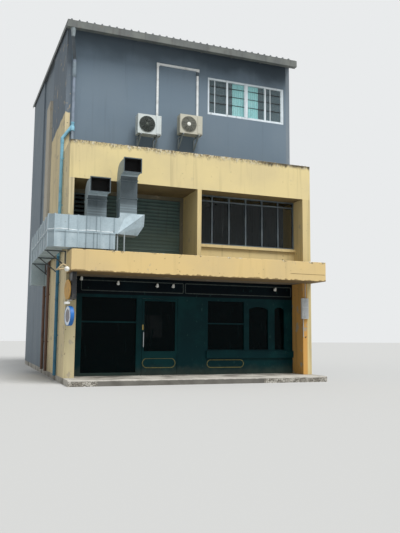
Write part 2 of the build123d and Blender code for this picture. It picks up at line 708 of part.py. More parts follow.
def sign_lamp(x, z):
    """Small lamp on an arm, aimed back at the sign board."""
    head_y = SHOPFRONT_Y - LAMP_ARM
    arm = lying_rod(LAMP_ARM_RADIUS, x, (head_y, SHOPFRONT_Y), z)
    narrow, wide = LAMP_HEAD_RADII
    shade = Cone(wide, narrow, LAMP_HEAD, align=(Align.CENTER, Align.CENTER, Align.MAX))
    return arm + Pos(x, head_y, z + narrow) * Rot(LAMP_TILT, 0, 0) * shade


def make_signs():
    """Lamps over the board, bare hanging signs by the left pier, and the meter box on the right one."""
    lamps = LEFT_LAMPS + ((WIDTH - RIGHT_LAMP_FROM_PARTY, RIGHT_LAMP_Z),)
    save("sign_lamps", group([sign_lamp(x, z) for x, z in lamps]))
    case_z = (CANOPY_Z - SIGN_CASE_HEIGHT, CANOPY_Z)
    oval_y = (SIGN_CASE_Y[0] + SIGN_CASE_Y[1]) / 2
    oval_z = case_z[0] + OVAL_RADIUS
    turned = Rot(0, 0, SIGN_TURN) * Rot(0, 90, 0)
    oval = Pos(OVAL_X, oval_y, oval_z) * turned * Cylinder(OVAL_RADIUS, OVAL_THICKNESS)
    pin = cross_rod(SIGN_PIN, (OVAL_X, SIGN_CASE_X[0]), oval_y, oval_z)
    case = fuse([block(SIGN_CASE_X, SIGN_CASE_Y, case_z), pin, oval])
    drum = Pos(DRUM_X, DRUM_Y, DRUM_Z) * turned * Cylinder(DRUM_RADIUS, DRUM_THICKNESS)
    drum += lying_rod(SIGN_PIN, DRUM_X, (DRUM_Y, 0), DRUM_Z)
    save("blade_signs", group([case, drum]))
    box_x = (WIDTH - METER_BOX_FROM_PARTY - METER_BOX[0], WIDTH - METER_BOX_FROM_PARTY)
    box = block(box_x, (-METER_BOX[1], 0), (METER_BOX_Z, METER_BOX_Z + METER_BOX[2]))
    front = box.edges().group_by(Axis.Y)[0]
    save("meter_box", fillet(front, CHAMFER))


def condenser_places():
    """Lower left corner of each condenser, in X and Z."""
    right = TOP_WINDOW_X[0] - CONDENSER_FROM_WINDOW - CONDENSER_SIZE[0]
    return list(zip((right - CONDENSER_PITCH, right), CONDENSER_ZS))


def fan_axis(x, z):
    """Point on a fan's axis, in the middle of its rotor."""
    width, depth, height = CONDENSER_SIZE
    return x + FAN_OFFSET_X, MAIN_WALL_Y - CONDENSER_GAP - depth + FAN_FROM_FRONT, z + height / 2


def condenser_casing(x, z):
    """Hollow casing with a round rimmed fan opening in front, and the motor and shaft inside."""
    width, depth, height = CONDENSER_SIZE
    back = MAIN_WALL_Y - CONDENSER_GAP
    front = back - depth
    sheet = CONDENSER_SHEET
    outer = block((x, x + width), (front, back), (z, z + height))
    outer = fillet(outer.edges().filter_by(Axis.Z), CONDENSER_CORNER)
    inner_x = (x + sheet, x + width - sheet)
    inner = block(inner_x, (front + sheet, back - sheet), (z + sheet, z + height - sheet))
    axis_x, axis_y, axis_z = fan_axis(x, z)
    rim = lying_rod(FAN_RADIUS + FAN_RIM, axis_x, (front - FAN_RIM_PROUD, front), axis_z)
    hole = lying_rod(FAN_RADIUS, axis_x, (front - FAN_RIM_PROUD, front + sheet), axis_z)
    half = MOTOR / 2
    motor_y = (axis_y + FAN_HUB_LENGTH / 2 + MOTOR_GAP, back - sheet)
    motor = block((axis_x - half, axis_x + half), motor_y, (axis_z - half, axis_z + half))
    shaft = lying_rod(FAN_SHAFT, axis_x, (axis_y - FAN_HUB_LENGTH / 3, motor_y[0]), axis_z)
    return fuse([outer + rim - inner - hole, motor, shaft])


def condenser_fan(x, z):
    """Fan rotor: hub bored for the shaft, and twisted blades."""
    half = FAN_HUB_LENGTH / 2
    rotor = lying_rod(FAN_HUB_RADIUS, 0, (-half, half), 0)
    length = FAN_RADIUS - FAN_HUB_RADIUS - FAN_TIP_GAP
    middle = FAN_HUB_RADIUS - FAN_BLADE_SUNK + length / 2
    for step in range(FAN_BLADES):
        blade = Pos(0, 0, middle) * Rot(0, 0, FAN_BLADE_PITCH) * Box(*FAN_BLADE, length)
        rotor += Rot(0, 360 / FAN_BLADES * step, 0) * blade
    rotor -= lying_rod(FAN_SHAFT + RUNNING_GAP, 0, (-FAN_HUB_LENGTH, FAN_HUB_LENGTH), 0)
    return Pos(*fan_axis(x, z)) * rotor


def condenser_bracket(middle_x, z):
    """Arm under a condenser, with its wall post and sloping strut."""
    bar_x = (middle_x - BRACKET_BAR / 2, middle_x + BRACKET_BAR / 2)
    front = MAIN_WALL_Y - CONDENSER_GAP - CONDENSER_SIZE[1]
    post_y = MAIN_WALL_Y - BRACKET_BAR
    foot = z - BRACKET_DROP
    arm = block(bar_x, (front, MAIN_WALL_Y), (z - BRACKET_BAR, z))
    post = block(bar_x, (post_y, MAIN_WALL_Y), (foot, z - BRACKET_BAR))
    strut = [
        (post_y, foot), (post_y, foot + BRACKET_FOOT),
        (front + BRACKET_TOE + BRACKET_FOOT, z - BRACKET_BAR), (front + BRACKET_TOE, z - BRACKET_BAR),
    ]
    return fuse([arm, post, side_profile(strut, bar_x)])


def make_condensers():
    """Two condensers on wall brackets, with their fans and the trunking between them."""
    places = condenser_places()
    save("condenser_casings", group([condenser_casing(x, z) for x, z in places]))
    for name, (x, z) in zip(("condenser_fan_left", "condenser_fan_right"), places):
        save(name, condenser_fan(x, z))
    inset = CONDENSER_SIZE[0] * BRACKET_INSET
    save("condenser_brackets", group([
        condenser_bracket(middle, z)
        for x, z in places
        for middle in (x + inset, x + CONDENSER_SIZE[0] - inset)
    ]))
    width, depth = TRUNKING
    y = (MAIN_WALL_Y - depth, MAIN_WALL_Y)
    starts = [x + CONDENSER_SIZE[0] - TRUNKING_INSET for x, _ in places]
    trunking = block((starts[0], starts[1] + width), y, (TRUNKING_TOP_Z - width, TRUNKING_TOP_Z))
    for start, (_, z) in zip(starts, places):
        trunking += block((start, start + width), y, (z + TRUNKING_DROP, TRUNKING_TOP_Z))
    save("cable_trunking", trunking)


def duct_level(end_x, z, proud=0):
    """One level of the duct: along the front, round the cut corner and back along the wall."""
    front = DUCT_FRONT_Y - proud
    outer = DUCT_OUTER_X - proud
    outline = Polyline(
        (end_x, front, z[0]),
        (DUCT_OUTER_X + DUCT_CORNER, front, z[0]),
        (outer, DUCT_FRONT_Y + DUCT_CORNER, z[0]),
        (outer, DUCT_SIDE_END_Y, z[0]),
        (DUCT_INNER_X, DUCT_SIDE_END_Y, z[0]),
        (DUCT_INNER_X, DUCT_BACK_Y, z[0]),
        (end_x, DUCT_BACK_Y, z[0]),
        close=True,
    )
    return extrude(make_face(outline), amount=z[1] - z[0], dir=(0, 0, 1))


def duct_run():
    """Two-level duct with standing seams round it and a raised seam between the levels."""
    upper = duct_level(DUCT_UPPER_END_X, (DUCT_SPLIT_Z, DUCT_TOP_Z))
    lower = duct_level(DUCT_LOWER_END_X, (DUCT_FOOT_Z, DUCT_SPLIT_Z))
    seam_z = (DUCT_SPLIT_Z - LEVEL_SEAM / 2, DUCT_SPLIT_Z + LEVEL_SEAM / 2)
    run = upper + lower + duct_level(DUCT_LOWER_END_X, seam_z, SEAM_PROUD)
    z = (DUCT_FOOT_Z, DUCT_TOP_Z + SEAM_PROUD)
    skin = duct_level(DUCT_LOWER_END_X, z, SEAM_PROUD)
    front_start = DUCT_OUTER_X + DUCT_CORNER
    for step in range(int((DUCT_LOWER_END_X - front_start) // SEAM_PITCH) + 1):
        x = front_start + SEAM_PITCH * step
        run += skin & block((x, x + SEAM), (DUCT_FRONT_Y - SEAM_PROUD, DUCT_BACK_Y), z)
    side_start = DUCT_FRONT_Y + DUCT_CORNER
    for step in range(int((DUCT_SIDE_END_Y - side_start) // SEAM_PITCH) + 1):
        y = side_start + SEAM_PITCH * step
        run += skin & block((DUCT_OUTER_X - SEAM_PROUD, DUCT_INNER_X), (y, y + SEAM), z)
    return run


def duct_drop():
    """Elbow at the duct's rear end that turns down and enters the left wall."""
    y = (DUCT_SIDE_END_Y, DUCT_SIDE_END_Y + DUCT_DROP_DEPTH)
    stub_y = (y[0] + DUCT_STUB_INSET, y[1] - DUCT_STUB_INSET)
    before = (y[1] - DUCT_ELBOW_RADIUS, DUCT_TOP_Z)
    after = (y[1], DUCT_TOP_Z - DUCT_ELBOW_RADIUS)
    sides = [
        after, (y[1], DUCT_DROP_FOOT_Z), (stub_y[0], DUCT_DROP_FOOT_Z), (stub_y[0], DUCT_FOOT_Z),
        (y[0], DUCT_FOOT_Z), (y[0], DUCT_TOP_Z), before,
    ]
    leg = line_at(DUCT_OUTER_X, sides) + rounded(DUCT_OUTER_X, before, (y[1], DUCT_TOP_Z), after)
    leg = extrude(make_face(leg), amount=DUCT_INNER_X - DUCT_OUTER_X, dir=(1, 0, 0))
    return leg + block((DUCT_INNER_X, 0), stub_y, (DUCT_DROP_FOOT_Z, DUCT_DROP_FOOT_Z + DUCT_STUB_HEIGHT))


def hopper():
    """Folded transition from the duct's end up to the tall stack, creased across its front."""
    start = DUCT_UPPER_END_X
    outline = [
        (start, DUCT_FRONT_Y, DUCT_SPLIT_Z),
        (start, DUCT_FRONT_Y, DUCT_TOP_Z),
        (HOPPER_SHOULDER_X, DUCT_FRONT_Y + HOPPER_FOLD, HOPPER_TOP_Z),
        (HOPPER_END_X, DUCT_FRONT_Y, HOPPER_TOP_Z),
        (HOPPER_END_X, DUCT_FRONT_Y + HOPPER_FOLD, HOPPER_END_FOOT_Z),
        (HOPPER_TOE_X, DUCT_FRONT_Y + 2 * HOPPER_FOLD, DUCT_SPLIT_Z),
    ]
    back = [(x, DUCT_BACK_Y, z) for x, _, z in outline]
    count = len(outline)
    sides = []
    for step in range(count):
        after = (step + 1) % count
        sides.append([outline[step], outline[after], back[after], back[step]])
    crease_foot = outline[0]
    front = [[crease_foot, outline[step], outline[step + 1]] for step in range(1, count - 1)]
    return faceted(sides + front + [back])


def stack(x, foot, top):
    """Upright stack that turns forward to an open mouth, with seams and a mouth flange."""
    front, back = STACK_Y
    bend = top - STACK_MOUTH_HEIGHT
    mouth = [
        (back - STACK_CROWN, top), (STACK_MOUTH_Y, top), (STACK_MOUTH_Y, bend), (front - STACK_THROAT, bend),
    ]
    upright = [(front, bend - STACK_THROAT), (front, foot), (back, foot), (back, top - STACK_CROWN)]
    outline = line_at(x[0], mouth) + rounded(x[0], mouth[-1], (front, bend), upright[0])
    outline += line_at(x[0], upright) + rounded(x[0], upright[-1], (back, top), mouth[0])
    shape = extrude(make_face(outline), amount=x[1] - x[0], dir=(1, 0, 0))
    around_x = (x[0] - SEAM_PROUD, x[1] + SEAM_PROUD)
    shape += block(around_x, (STACK_MOUTH_Y, STACK_MOUTH_Y + SEAM), (bend - SEAM_PROUD, top + SEAM_PROUD))
    seam = bend - STACK_THROAT - SEAM
    while seam > foot + STACK_SEAM_PITCH / 2:
        shape += block(around_x, (front - SEAM_PROUD, back), (seam, seam + SEAM))
        seam -= STACK_SEAM_PITCH
    mouth_y = (STACK_MOUTH_Y, STACK_MOUTH_Y + STACK_MOUTH_DEPTH)
    inner_x = (x[0] + DUCT_SHEET, x[1] - DUCT_SHEET)
    return shape - block(inner_x, mouth_y, (bend + DUCT_SHEET, top - DUCT_SHEET))


def make_ducts():
    """Galvanised extract duct with its drop, hopper and two stacks."""
    run = duct_run()
    save("duct_run", run)
    save("duct_drop", duct_drop())
    save("duct_hopper", hopper())
    short = stack(SHORT_STACK_X, DUCT_TOP_Z, SHORT_STACK_TOP_Z) - run
    tall = stack(TALL_STACK_X, DUCT_TOP_Z, TALL_STACK_TOP_Z) - hopper()
    save("exhaust_stacks", group([short, tall]))


def wall_bracket(y):
    """Bracket on the left wall that carries the duct's side run."""
    bar = SUPPORT_BAR
    foot = DUCT_FOOT_Z - WALL_BRACKET_DROP
    toe = DUCT_OUTER_X + SUPPORT_INSET
    arm = block((DUCT_OUTER_X, 0), (y, y + bar), (DUCT_FOOT_Z - bar, DUCT_FOOT_Z))
    post = block((-bar, 0), (y, y + bar), (foot, DUCT_FOOT_Z))
    strut = Polyline(
        (-bar, y, foot), (-bar, y, foot + SUPPORT_INSET), (toe + SUPPORT_INSET, y, DUCT_FOOT_Z - bar),
        (toe, y, DUCT_FOOT_Z - bar), close=True,
    )
    return fuse([arm, post, extrude(make_face(strut), amount=bar, dir=(0, 1, 0))])


def make_duct_supports():
    """Legs that stand in the canopy trough and brackets on the left wall."""
    bar = SUPPORT_BAR
    y = (DUCT_FRONT_Y + SUPPORT_INSET, DUCT_FRONT_Y + SUPPORT_INSET + bar)
    foot = CANOPY_Z + SLAB
    legs = [block((x, x + bar), y, (foot, DUCT_FOOT_Z)) for x in LEG_XS]
    legs += [block((x, x + bar), y, (foot, DUCT_SPLIT_Z)) for x in HOPPER_LEG_XS]
    save("duct_supports", group(legs + [wall_bracket(y) for y in WALL_BRACKET_YS]))


def tube(points):
    """Round pipe through the given points, with ball corners."""
    pieces = []
    for start, end in zip(points, points[1:]):
        run = Vector(*end) - Vector(*start)
        rod = Cylinder(PIPE_RADIUS, run.length, align=(Align.CENTER, Align.CENTER, Align.MIN))
        pieces.append(Plane(origin=start, z_dir=run) * rod)
    return fuse(pieces + [Pos(*corner) * Sphere(PIPE_RADIUS) for corner in points[1:-1]])


def socket(x, y, z):
    """Collar of an upright pipe joint, below the given height."""
    return standing_rod(PIPE_RADIUS + SOCKET, x, y, (z - SOCKET_LENGTH, z))


def side_clip(y, z):
    """Clip that holds a pipe off the left wall."""
    return block((-PIPE_OFF_WALL, 0), (y - CLIP / 2, y + CLIP / 2), (z - CLIP / 2, z + CLIP / 2))


def make_pipes():
    """Rainwater pipe from the gutter to the ground, and soil pipes on the left wall."""
    wall_y = MAIN_WALL_Y - PIPE_OFF_WALL
    wall_x = -PIPE_OFF_WALL
    outlet_y = GUTTER_FRONT_Y + GUTTER_DEPTH / 2
    route = tube([
        (OUTLET_X, outlet_y, GUTTER_Z), (OUTLET_X, outlet_y, GUTTER_Z - OUTLET_DROP),
        (GUTTER_PIPE_X, wall_y, GUTTER_PIPE_TOP_Z), (GUTTER_PIPE_X, wall_y, GUTTER_PIPE_FOOT_Z),
        (wall_x, wall_y, CORNER_PIPE_TOP_Z), (wall_x, wall_y, FLOOR_Z),
    ])
    sockets = [
        socket(GUTTER_PIPE_X, wall_y, GUTTER_PIPE_TOP_Z - PIPE_RADIUS),
        socket(GUTTER_PIPE_X, wall_y, GUTTER_PIPE_JOINT_Z),
        socket(wall_x, wall_y, CORNER_PIPE_TOP_Z - PIPE_RADIUS),
    ]
    clip_x = (GUTTER_PIPE_X - CLIP / 2, GUTTER_PIPE_X + CLIP / 2)
    clip_z = (GUTTER_PIPE_CLIP_Z - CLIP / 2, GUTTER_PIPE_CLIP_Z + CLIP / 2)
    front_clip = block(clip_x, (wall_y, MAIN_WALL_Y), clip_z)
    side_clips = [side_clip(wall_y, z) for z in CORNER_PIPE_CLIP_ZS]
    save("downpipe", fuse([route, front_clip] + sockets + side_clips))
    soil_pipes = []
    for y in SOIL_PIPE_YS:
        pipe = standing_rod(PIPE_RADIUS, wall_x, y, (FLOOR_Z, SOIL_PIPE_TOP_Z))
        soil_pipes.append(fuse([pipe] + [side_clip(y, z) for z in SOIL_PIPE_CLIP_ZS]))
    save("soil_pipes", group(soil_pipes))


def main():
    """Write every node."""
    os.makedirs("parts", exist_ok=True)
    make_floors()
    make_side_walls()
    make_left_bay()
    save("upper_window_glass", group(make_rear_wall() + make_upper_front() + make_right_bay()))
    make_piers()
    make_roof()
    make_sign_board()
    make_shopfront()
    make_door()
    make_signs()
    make_condensers()
    make_ducts()
    make_duct_supports()
    make_pipes()


if __name__ == "__main__":
    main()
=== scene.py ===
"""Looks of the corner shop building: finishes for its solids, and the small pieces fixed to them.

Places of pieces are in metres from the foot of the facade's left corner: along the facade, inwards and up.
"""
import json
import logging
import math
import random
from dataclasses import dataclass, replace
from enum import Enum
from functools import cache
from typing import Optional, Sequence, Union

import bpy
from mathutils import Matrix, Vector

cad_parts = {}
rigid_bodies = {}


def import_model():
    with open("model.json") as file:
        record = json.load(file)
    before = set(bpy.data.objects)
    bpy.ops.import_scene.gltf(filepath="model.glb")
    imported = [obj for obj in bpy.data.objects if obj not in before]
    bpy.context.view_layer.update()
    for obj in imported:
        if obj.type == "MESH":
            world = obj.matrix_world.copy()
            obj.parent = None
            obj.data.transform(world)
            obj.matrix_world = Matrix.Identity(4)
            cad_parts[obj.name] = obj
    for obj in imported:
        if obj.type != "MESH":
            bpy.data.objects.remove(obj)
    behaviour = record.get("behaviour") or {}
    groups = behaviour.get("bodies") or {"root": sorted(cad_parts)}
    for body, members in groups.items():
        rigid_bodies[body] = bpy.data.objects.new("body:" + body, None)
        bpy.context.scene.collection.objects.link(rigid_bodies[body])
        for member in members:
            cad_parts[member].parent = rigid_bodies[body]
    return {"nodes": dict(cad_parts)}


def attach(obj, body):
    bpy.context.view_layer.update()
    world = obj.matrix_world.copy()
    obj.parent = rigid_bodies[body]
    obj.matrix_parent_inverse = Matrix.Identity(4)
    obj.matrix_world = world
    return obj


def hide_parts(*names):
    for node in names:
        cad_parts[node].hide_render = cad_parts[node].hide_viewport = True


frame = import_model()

log = logging.getLogger("corner_shop")

Point = tuple[float, float, float]
Pair = tuple[float, float]
Box = tuple[Point, Point]
Spot = Union[Point, Vector]
Profile = tuple[Pair, ...]
Node = bpy.types.Node
Socket = bpy.types.NodeSocket
Number = Union[float, "Value"]
Colour = Union[str, Socket]

FACADE_WIDTH = 7.0
CORNER = Vector((-FACADE_WIDTH / 2, -5.5, 0.0))
EVEN = (1.0, 1.0, 1.0)


class Axis(Enum):
    """Direction that a turned piece points in; a sign lamp's is down and 35 degrees inwards."""

    UP = Matrix.Identity(3)
    DOWN = Matrix.Rotation(math.radians(180), 3, "X")
    LEFT = Matrix.Rotation(math.radians(-90), 3, "Y")
    FRONT = Matrix.Rotation(math.radians(90), 3, "X")
    BACK = Matrix.Rotation(math.radians(-90), 3, "X")
    LAMP = Matrix.Rotation(math.radians(215), 3, "X")


class Mixing(Enum):
    """Way in which one colour is laid over another."""

    COVER = "MIX"
    STAIN = "MULTIPLY"


class Body(Enum):
    """Part of the building that a piece moves with."""

    BUILDING = "building"
    SHOP_DOOR = "shop_door"


def linear(code: str) -> tuple[float, float, float, float]:
    """Colour of a six-digit code, as the shader reads it.

    Args:
        code: Red, green and blue as hexadecimal pairs.

    Returns:
        Linear red, green, blue and an alpha of one.
    """
    parts = [int(code[start:start + 2], 16) / 255 for start in (0, 2, 4)]
    red, green, blue = (
        part / 12.92 if part <= 0.04045 else ((part + 0.055) / 1.055) ** 2.4 for part in parts
    )
    return red, green, blue, 1.0


def circle(sides: int) -> list[Pair]:
    """Points of a circle with a radius of one."""
    return [(math.cos(math.tau * turn / sides), math.sin(math.tau * turn / sides)) for turn in range(sides)]


def eased(path: Sequence[Spot], steps: int = 6) -> list[Vector]:
    """Round a path through its points.

    Args:
        path: Points that the line passes.
        steps: Pieces between two points.

    Returns:
        Closer points on a smooth line.
    """
    ends = [Vector(point) for point in (path[0], *path, path[-1])]
    line = []
    for a, b, c, d in zip(ends, ends[1:], ends[2:], ends[3:]):
        for step in range(steps):
            t = step / steps
            bend = (2 * a - 5 * b + 4 * c - d) * t ** 2 + (3 * b - a - 3 * c + d) * t ** 3
            line.append(0.5 * (2 * b + (c - a) * t + bend))
    return line + [ends[-1]]


class Value:
    """A number that varies over a surface; arithmetic on it adds Math nodes."""

    def __init__(self, nodes: "Nodes", socket: Socket) -> None:
        """Keep the socket and the nodes that it belongs to."""
        self.nodes = nodes
        self.socket = socket

    def __add__(self, other: Number) -> "Value":
        """Sum of two values."""
        return self.nodes.math("ADD", self, other)

    def __sub__(self, other: Number) -> "Value":
        """This value less another."""
        return self.nodes.math("SUBTRACT", self, other)

    def __rsub__(self, other: Number) -> "Value":
        """Another value less this one."""
        return self.nodes.math("SUBTRACT", other, self)

    def __mul__(self, other: Number) -> "Value":
        """Product of two values."""
        return self.nodes.math("MULTIPLY", self, other)

    def __gt__(self, other: Number) -> "Value":
        """One where this value is the larger, else nothing."""
        return self.nodes.math("GREATER_THAN", self, other)

    def __lt__(self, other: Number) -> "Value":
        """One where this value is the smaller, else nothing."""
        return self.nodes.math("LESS_THAN", self, other)

    __radd__ = __add__
    __rmul__ = __mul__

    def ease(self, low: float, high: float) -> "Value":
        """Smooth step from 0 at one limit to 1 at the other."""
        limits = {0: self, 1: low, 2: high}
        return self.nodes.value("ShaderNodeMapRange", {"interpolation_type": "SMOOTHSTEP"}, limits)

    def size(self) -> "Value":
        """Value without its sign."""
        return self.nodes.math("ABSOLUTE", self)

    def from_middle(self, pitch: float) -> "Value":
        """Distance from the middle of the current one of equal steps, from 0 to 0.5."""
        return (self.nodes.math("FRACT", self * (1 / pitch)) - 0.5).size()


class Nodes:
    """Node tree of a material or of the world."""

    def __init__(self, owner: bpy.types.ID) -> None:
        """Start with an empty tree."""
        owner.use_nodes = True
        self.tree = owner.node_tree
        self.tree.nodes.clear()

    def node(self, kind: str, settings: Optional[dict] = None, inputs: Optional[dict] = None) -> Node:
        """Add a node.

        Args:
            kind: Node type.
            settings: Properties of the node.
            inputs: Values or links of its sockets, by name or number.

        Returns:
            The new node.
        """
        node = self.tree.nodes.new(kind)
        for key, setting in (settings or {}).items():
            setattr(node, key, setting)
        for key, value in (inputs or {}).items():
            value = value.socket if isinstance(value, Value) else value
            if isinstance(value, Socket):
                self.tree.links.new(value, node.inputs[key])
            else:
                node.inputs[key].default_value = linear(value) if isinstance(value, str) else value
        return node

    def value(self, kind: str, settings: dict, inputs: dict) -> Value:
        """First output of a new node, as a value."""
        return Value(self, self.node(kind, settings, inputs).outputs[0])

    def math(self, operation: str, *terms: Number) -> Value:
        """Result of one Math node."""
        return self.value("ShaderNodeMath", {"operation": operation}, dict(enumerate(terms)))


class Shader(Nodes):
    """Nodes of one material, with the surface position as the root of every pattern."""

    def __init__(self, name: str, colour: Colour) -> None:
        """Make an empty material, and read where its surface lies and faces."""
        self.colour = colour
        self.material = bpy.data.materials.new(name)
        super().__init__(self.material)
        self.place = self.node("ShaderNodeTexCoord").outputs["Object"]
        self.x, self.y, self.z = self.parts(self.place)
        self.facing = self.parts(self.node("ShaderNodeNewGeometry").outputs["Normal"])

    def parts(self, vector: Socket) -> list[Value]:
        """Three parts of a vector."""
        return [Value(self, part) for part in self.node("ShaderNodeSeparateXYZ", {}, {0: vector}).outputs]

    def stretched(self, scale: Point) -> Socket:
        """Position multiplied along each axis."""
        settings = {"operation": "MULTIPLY"}
        return self.node("ShaderNodeVectorMath", settings, {0: self.place, 1: scale}).outputs[0]

    def noise(self, scale: float, detail: float = 4.0, stretch: Point = EVEN, wander: float = 0.0) -> Value:
        """Cloudy value about 0.5, of so many patches in a metre, octaves, stretch and distortion."""
        inputs = {"Vector": self.stretched(stretch), "Scale": scale, "Detail": detail, "Distortion": wander}
        return self.value("ShaderNodeTexNoise", {}, inputs)

    def ragged(self, spread: float, scale: float, detail: float = 4.0, stretch: Point = EVEN) -> Value:
        """Height of the surface, unsettled by noise."""
        return self.z + (self.noise(scale, detail, stretch) - 0.5) * spread

    def lay(self, amount: Number, under: Colour, over: Colour, how: Mixing = Mixing.COVER) -> Socket:
        """Mix of two colours, in which the amount says how much of the upper one shows."""
        settings = {"data_type": "RGBA", "blend_type": how.value}
        return self.node("ShaderNodeMix", settings, {0: amount, 6: under, 7: over}).outputs[2]

    def over(self, amount: Number, tone: Colour, how: Mixing = Mixing.COVER) -> None:
        """Lay a tone over the colour so far."""
        self.colour = self.lay(amount, self.colour, tone, how)

    def spots(self, tone: str, amount: Number, low: float, high: float, *noise: Union[float, Point]) -> None:
        """Lay a tone where noise of some scale, detail and stretch rises from one limit to another."""
        self.over(self.noise(*noise).ease(low, high) * amount, tone)

    def close(
        self, roughness: Number, height: Optional[Value] = None, relief: float = 0.0, **others: Number
    ) -> None:
        """Finish the material with one surface of the colour so far.

        Args:
            roughness: Roughness, fixed or varying.
            height: Relief pattern, from 0 to 1.
            relief: Depth of the relief in metres.
            others: Other sockets of the surface, with words joined by underscores.
        """
        inputs: dict = {"Base Color": self.colour, "Roughness": roughness}
        if height is not None:
            bump = self.node("ShaderNodeBump", {}, {"Strength": 1.0, "Distance": relief, "Height": height})
            inputs["Normal"] = bump.outputs[0]
        inputs.update((name.replace("_", " "), value) for name, value in others.items())
        surface = self.node("ShaderNodeBsdfPrincipled", {}, inputs)
        self.node("ShaderNodeOutputMaterial", {}, {"Surface": surface.outputs[0]})


@dataclass(frozen=True)
class Finish:
    """A named finish, whose material is built once."""

    name: str
    paint: str

    @cache
    def material(self) -> bpy.types.Material:
        """Build the material.

        Returns:
            The material, the same one at every call.
        """
        shade = Shader(self.name, self.paint)
        self.coat(shade)
        return shade.material

    def coat(self, shade: Shader) -> None:
        """Lay colours and relief, which each kind of finish does in its own way."""
        raise NotImplementedError


@dataclass(frozen=True)
class Patch:
    """Part of a wall in another paint: below a height, right of a line, and where it faces the street."""

    paint: str
    height: float
    start: float = -9.0
    turn: float = 9.0


@dataclass(frozen=True)
class Render(Finish):
    """Painted masonry: mottled paint, rain streaks, flakes, grime on ledges and a blackened crest, with
    painted shade on the undersides and a stain deepened by painted shadow under the eave.
    """

    under: str = "A99F8B"
    grime: str = "4A443A"
    streaks: float = 0.35
    flaking: float = 0.25
    crest: Optional[float] = None
    crest_depth: float = 0.16
    foot: Optional[float] = None
    upper_paint: Optional[str] = None
    upper_from: float = 7.35
    patches: tuple[Patch, ...] = ()
    soffit_shade: Optional[str] = None
    mould_from: Optional[float] = None
    eave_stain_and_shadow: Optional[float] = None

    def coat(self, shade: Shader) -> None:
        """Lay the paints and the painted shade of the undersides, then dirt and flakes, then the stains at
        crest and foot, and at the head a stain with painted eave shadow.

        Args:
            shade: Nodes that it fills.
        """
        clouds = shade.noise(0.9, 5.0)
        shade.over(clouds.ease(0.35, 0.7) * 0.22, self.under)
        if self.upper_paint:
            upper = shade.lay(clouds.ease(0.3, 0.7) * 0.2, self.upper_paint, "8B9399")
            edge = shade.ragged(0.16, 3.0).ease(self.upper_from - 0.02, self.upper_from + 0.02)
            shade.over(edge, upper)
        for patch in self.patches:
            inside = (shade.z < patch.height) * (shade.facing[1] < patch.turn) * (shade.x > patch.start)
            shade.over(inside, patch.paint)
        # painted shade: faces that look down take a darker brown
        if self.soffit_shade:
            shade.over((shade.facing[2] < -0.5) * (0.6 + 0.4 * clouds), self.soffit_shade)
        drips = shade.noise(1.0, 3.0, (9.0, 9.0, 0.45), 0.4).ease(0.52, 0.8)
        wall = 1 - shade.facing[2].size().ease(0.4, 0.9)
        shade.over(drips * wall * self.streaks, self.grime)
        most = min(1.0, self.flaking * 4)
        limit = 0.68 - self.flaking * 0.12
        bare = shade.noise(4.0, 9.0, (1.0, 1.0, 0.8), 0.3).ease(limit, limit + 0.03) * most
        shade.over(bare * 0.85, self.under)
        shade.spots(self.grime, most, 0.69, 0.72, 11.0, 5.0)
        shade.over(shade.facing[2].ease(0.6, 0.95) * (0.45 + 0.4 * clouds), self.grime)
        if self.crest:
            band = shade.ragged(0.34, 6.0, 7.0, (1.0, 1.0, 0.35))
            band = band.ease(self.crest - self.crest_depth, self.crest + 0.02)
            shade.over(band * (0.25 + 0.75 * shade.noise(24.0, 5.0).ease(0.42, 0.56)), "6B5F4E")
            shade.over(band * shade.noise(17.0, 4.0).ease(0.54, 0.6) * 0.8, "D8D2BC")
        if self.mould_from is not None:
            ends = (shade.x + clouds).ease(self.mould_from, self.mould_from + 0.7)
            ends = ends + (shade.x - clouds * 0.25).ease(-3.48, -3.6)
            black = shade.ragged(0.3, 1.0, 5.0, (13.0, 13.0, 1.5)).ease(self.crest - 0.12, self.crest - 0.02)
            shade.over(black * ends * 0.85, "2B261F")
        # stain and painted shadow: the wall darkens below the eave, more towards the right
        if self.eave_stain_and_shadow:
            eave_stain_and_shade = shade.ragged(0.7, 1.3, 5.0).ease(self.eave_stain_and_shadow, self.eave_stain_and_shadow + 0.55)
            shade.over(eave_stain_and_shade * (0.5 + 0.3 * shade.x.ease(-2.0, 3.5)), "323C44")
        if self.foot:
            broken = shade.ragged(0.13, 9.0, 6.0).ease(self.foot + 0.028, self.foot + 0.008)
            shade.over(broken * 0.85, "75603F")
        height = shade.noise(38.0, 3.0) * 0.35 + (1 - bare) * 0.65
        shade.close(0.82 + 0.12 * clouds, height, 0.004, Specular_IOR_Level=0.3)


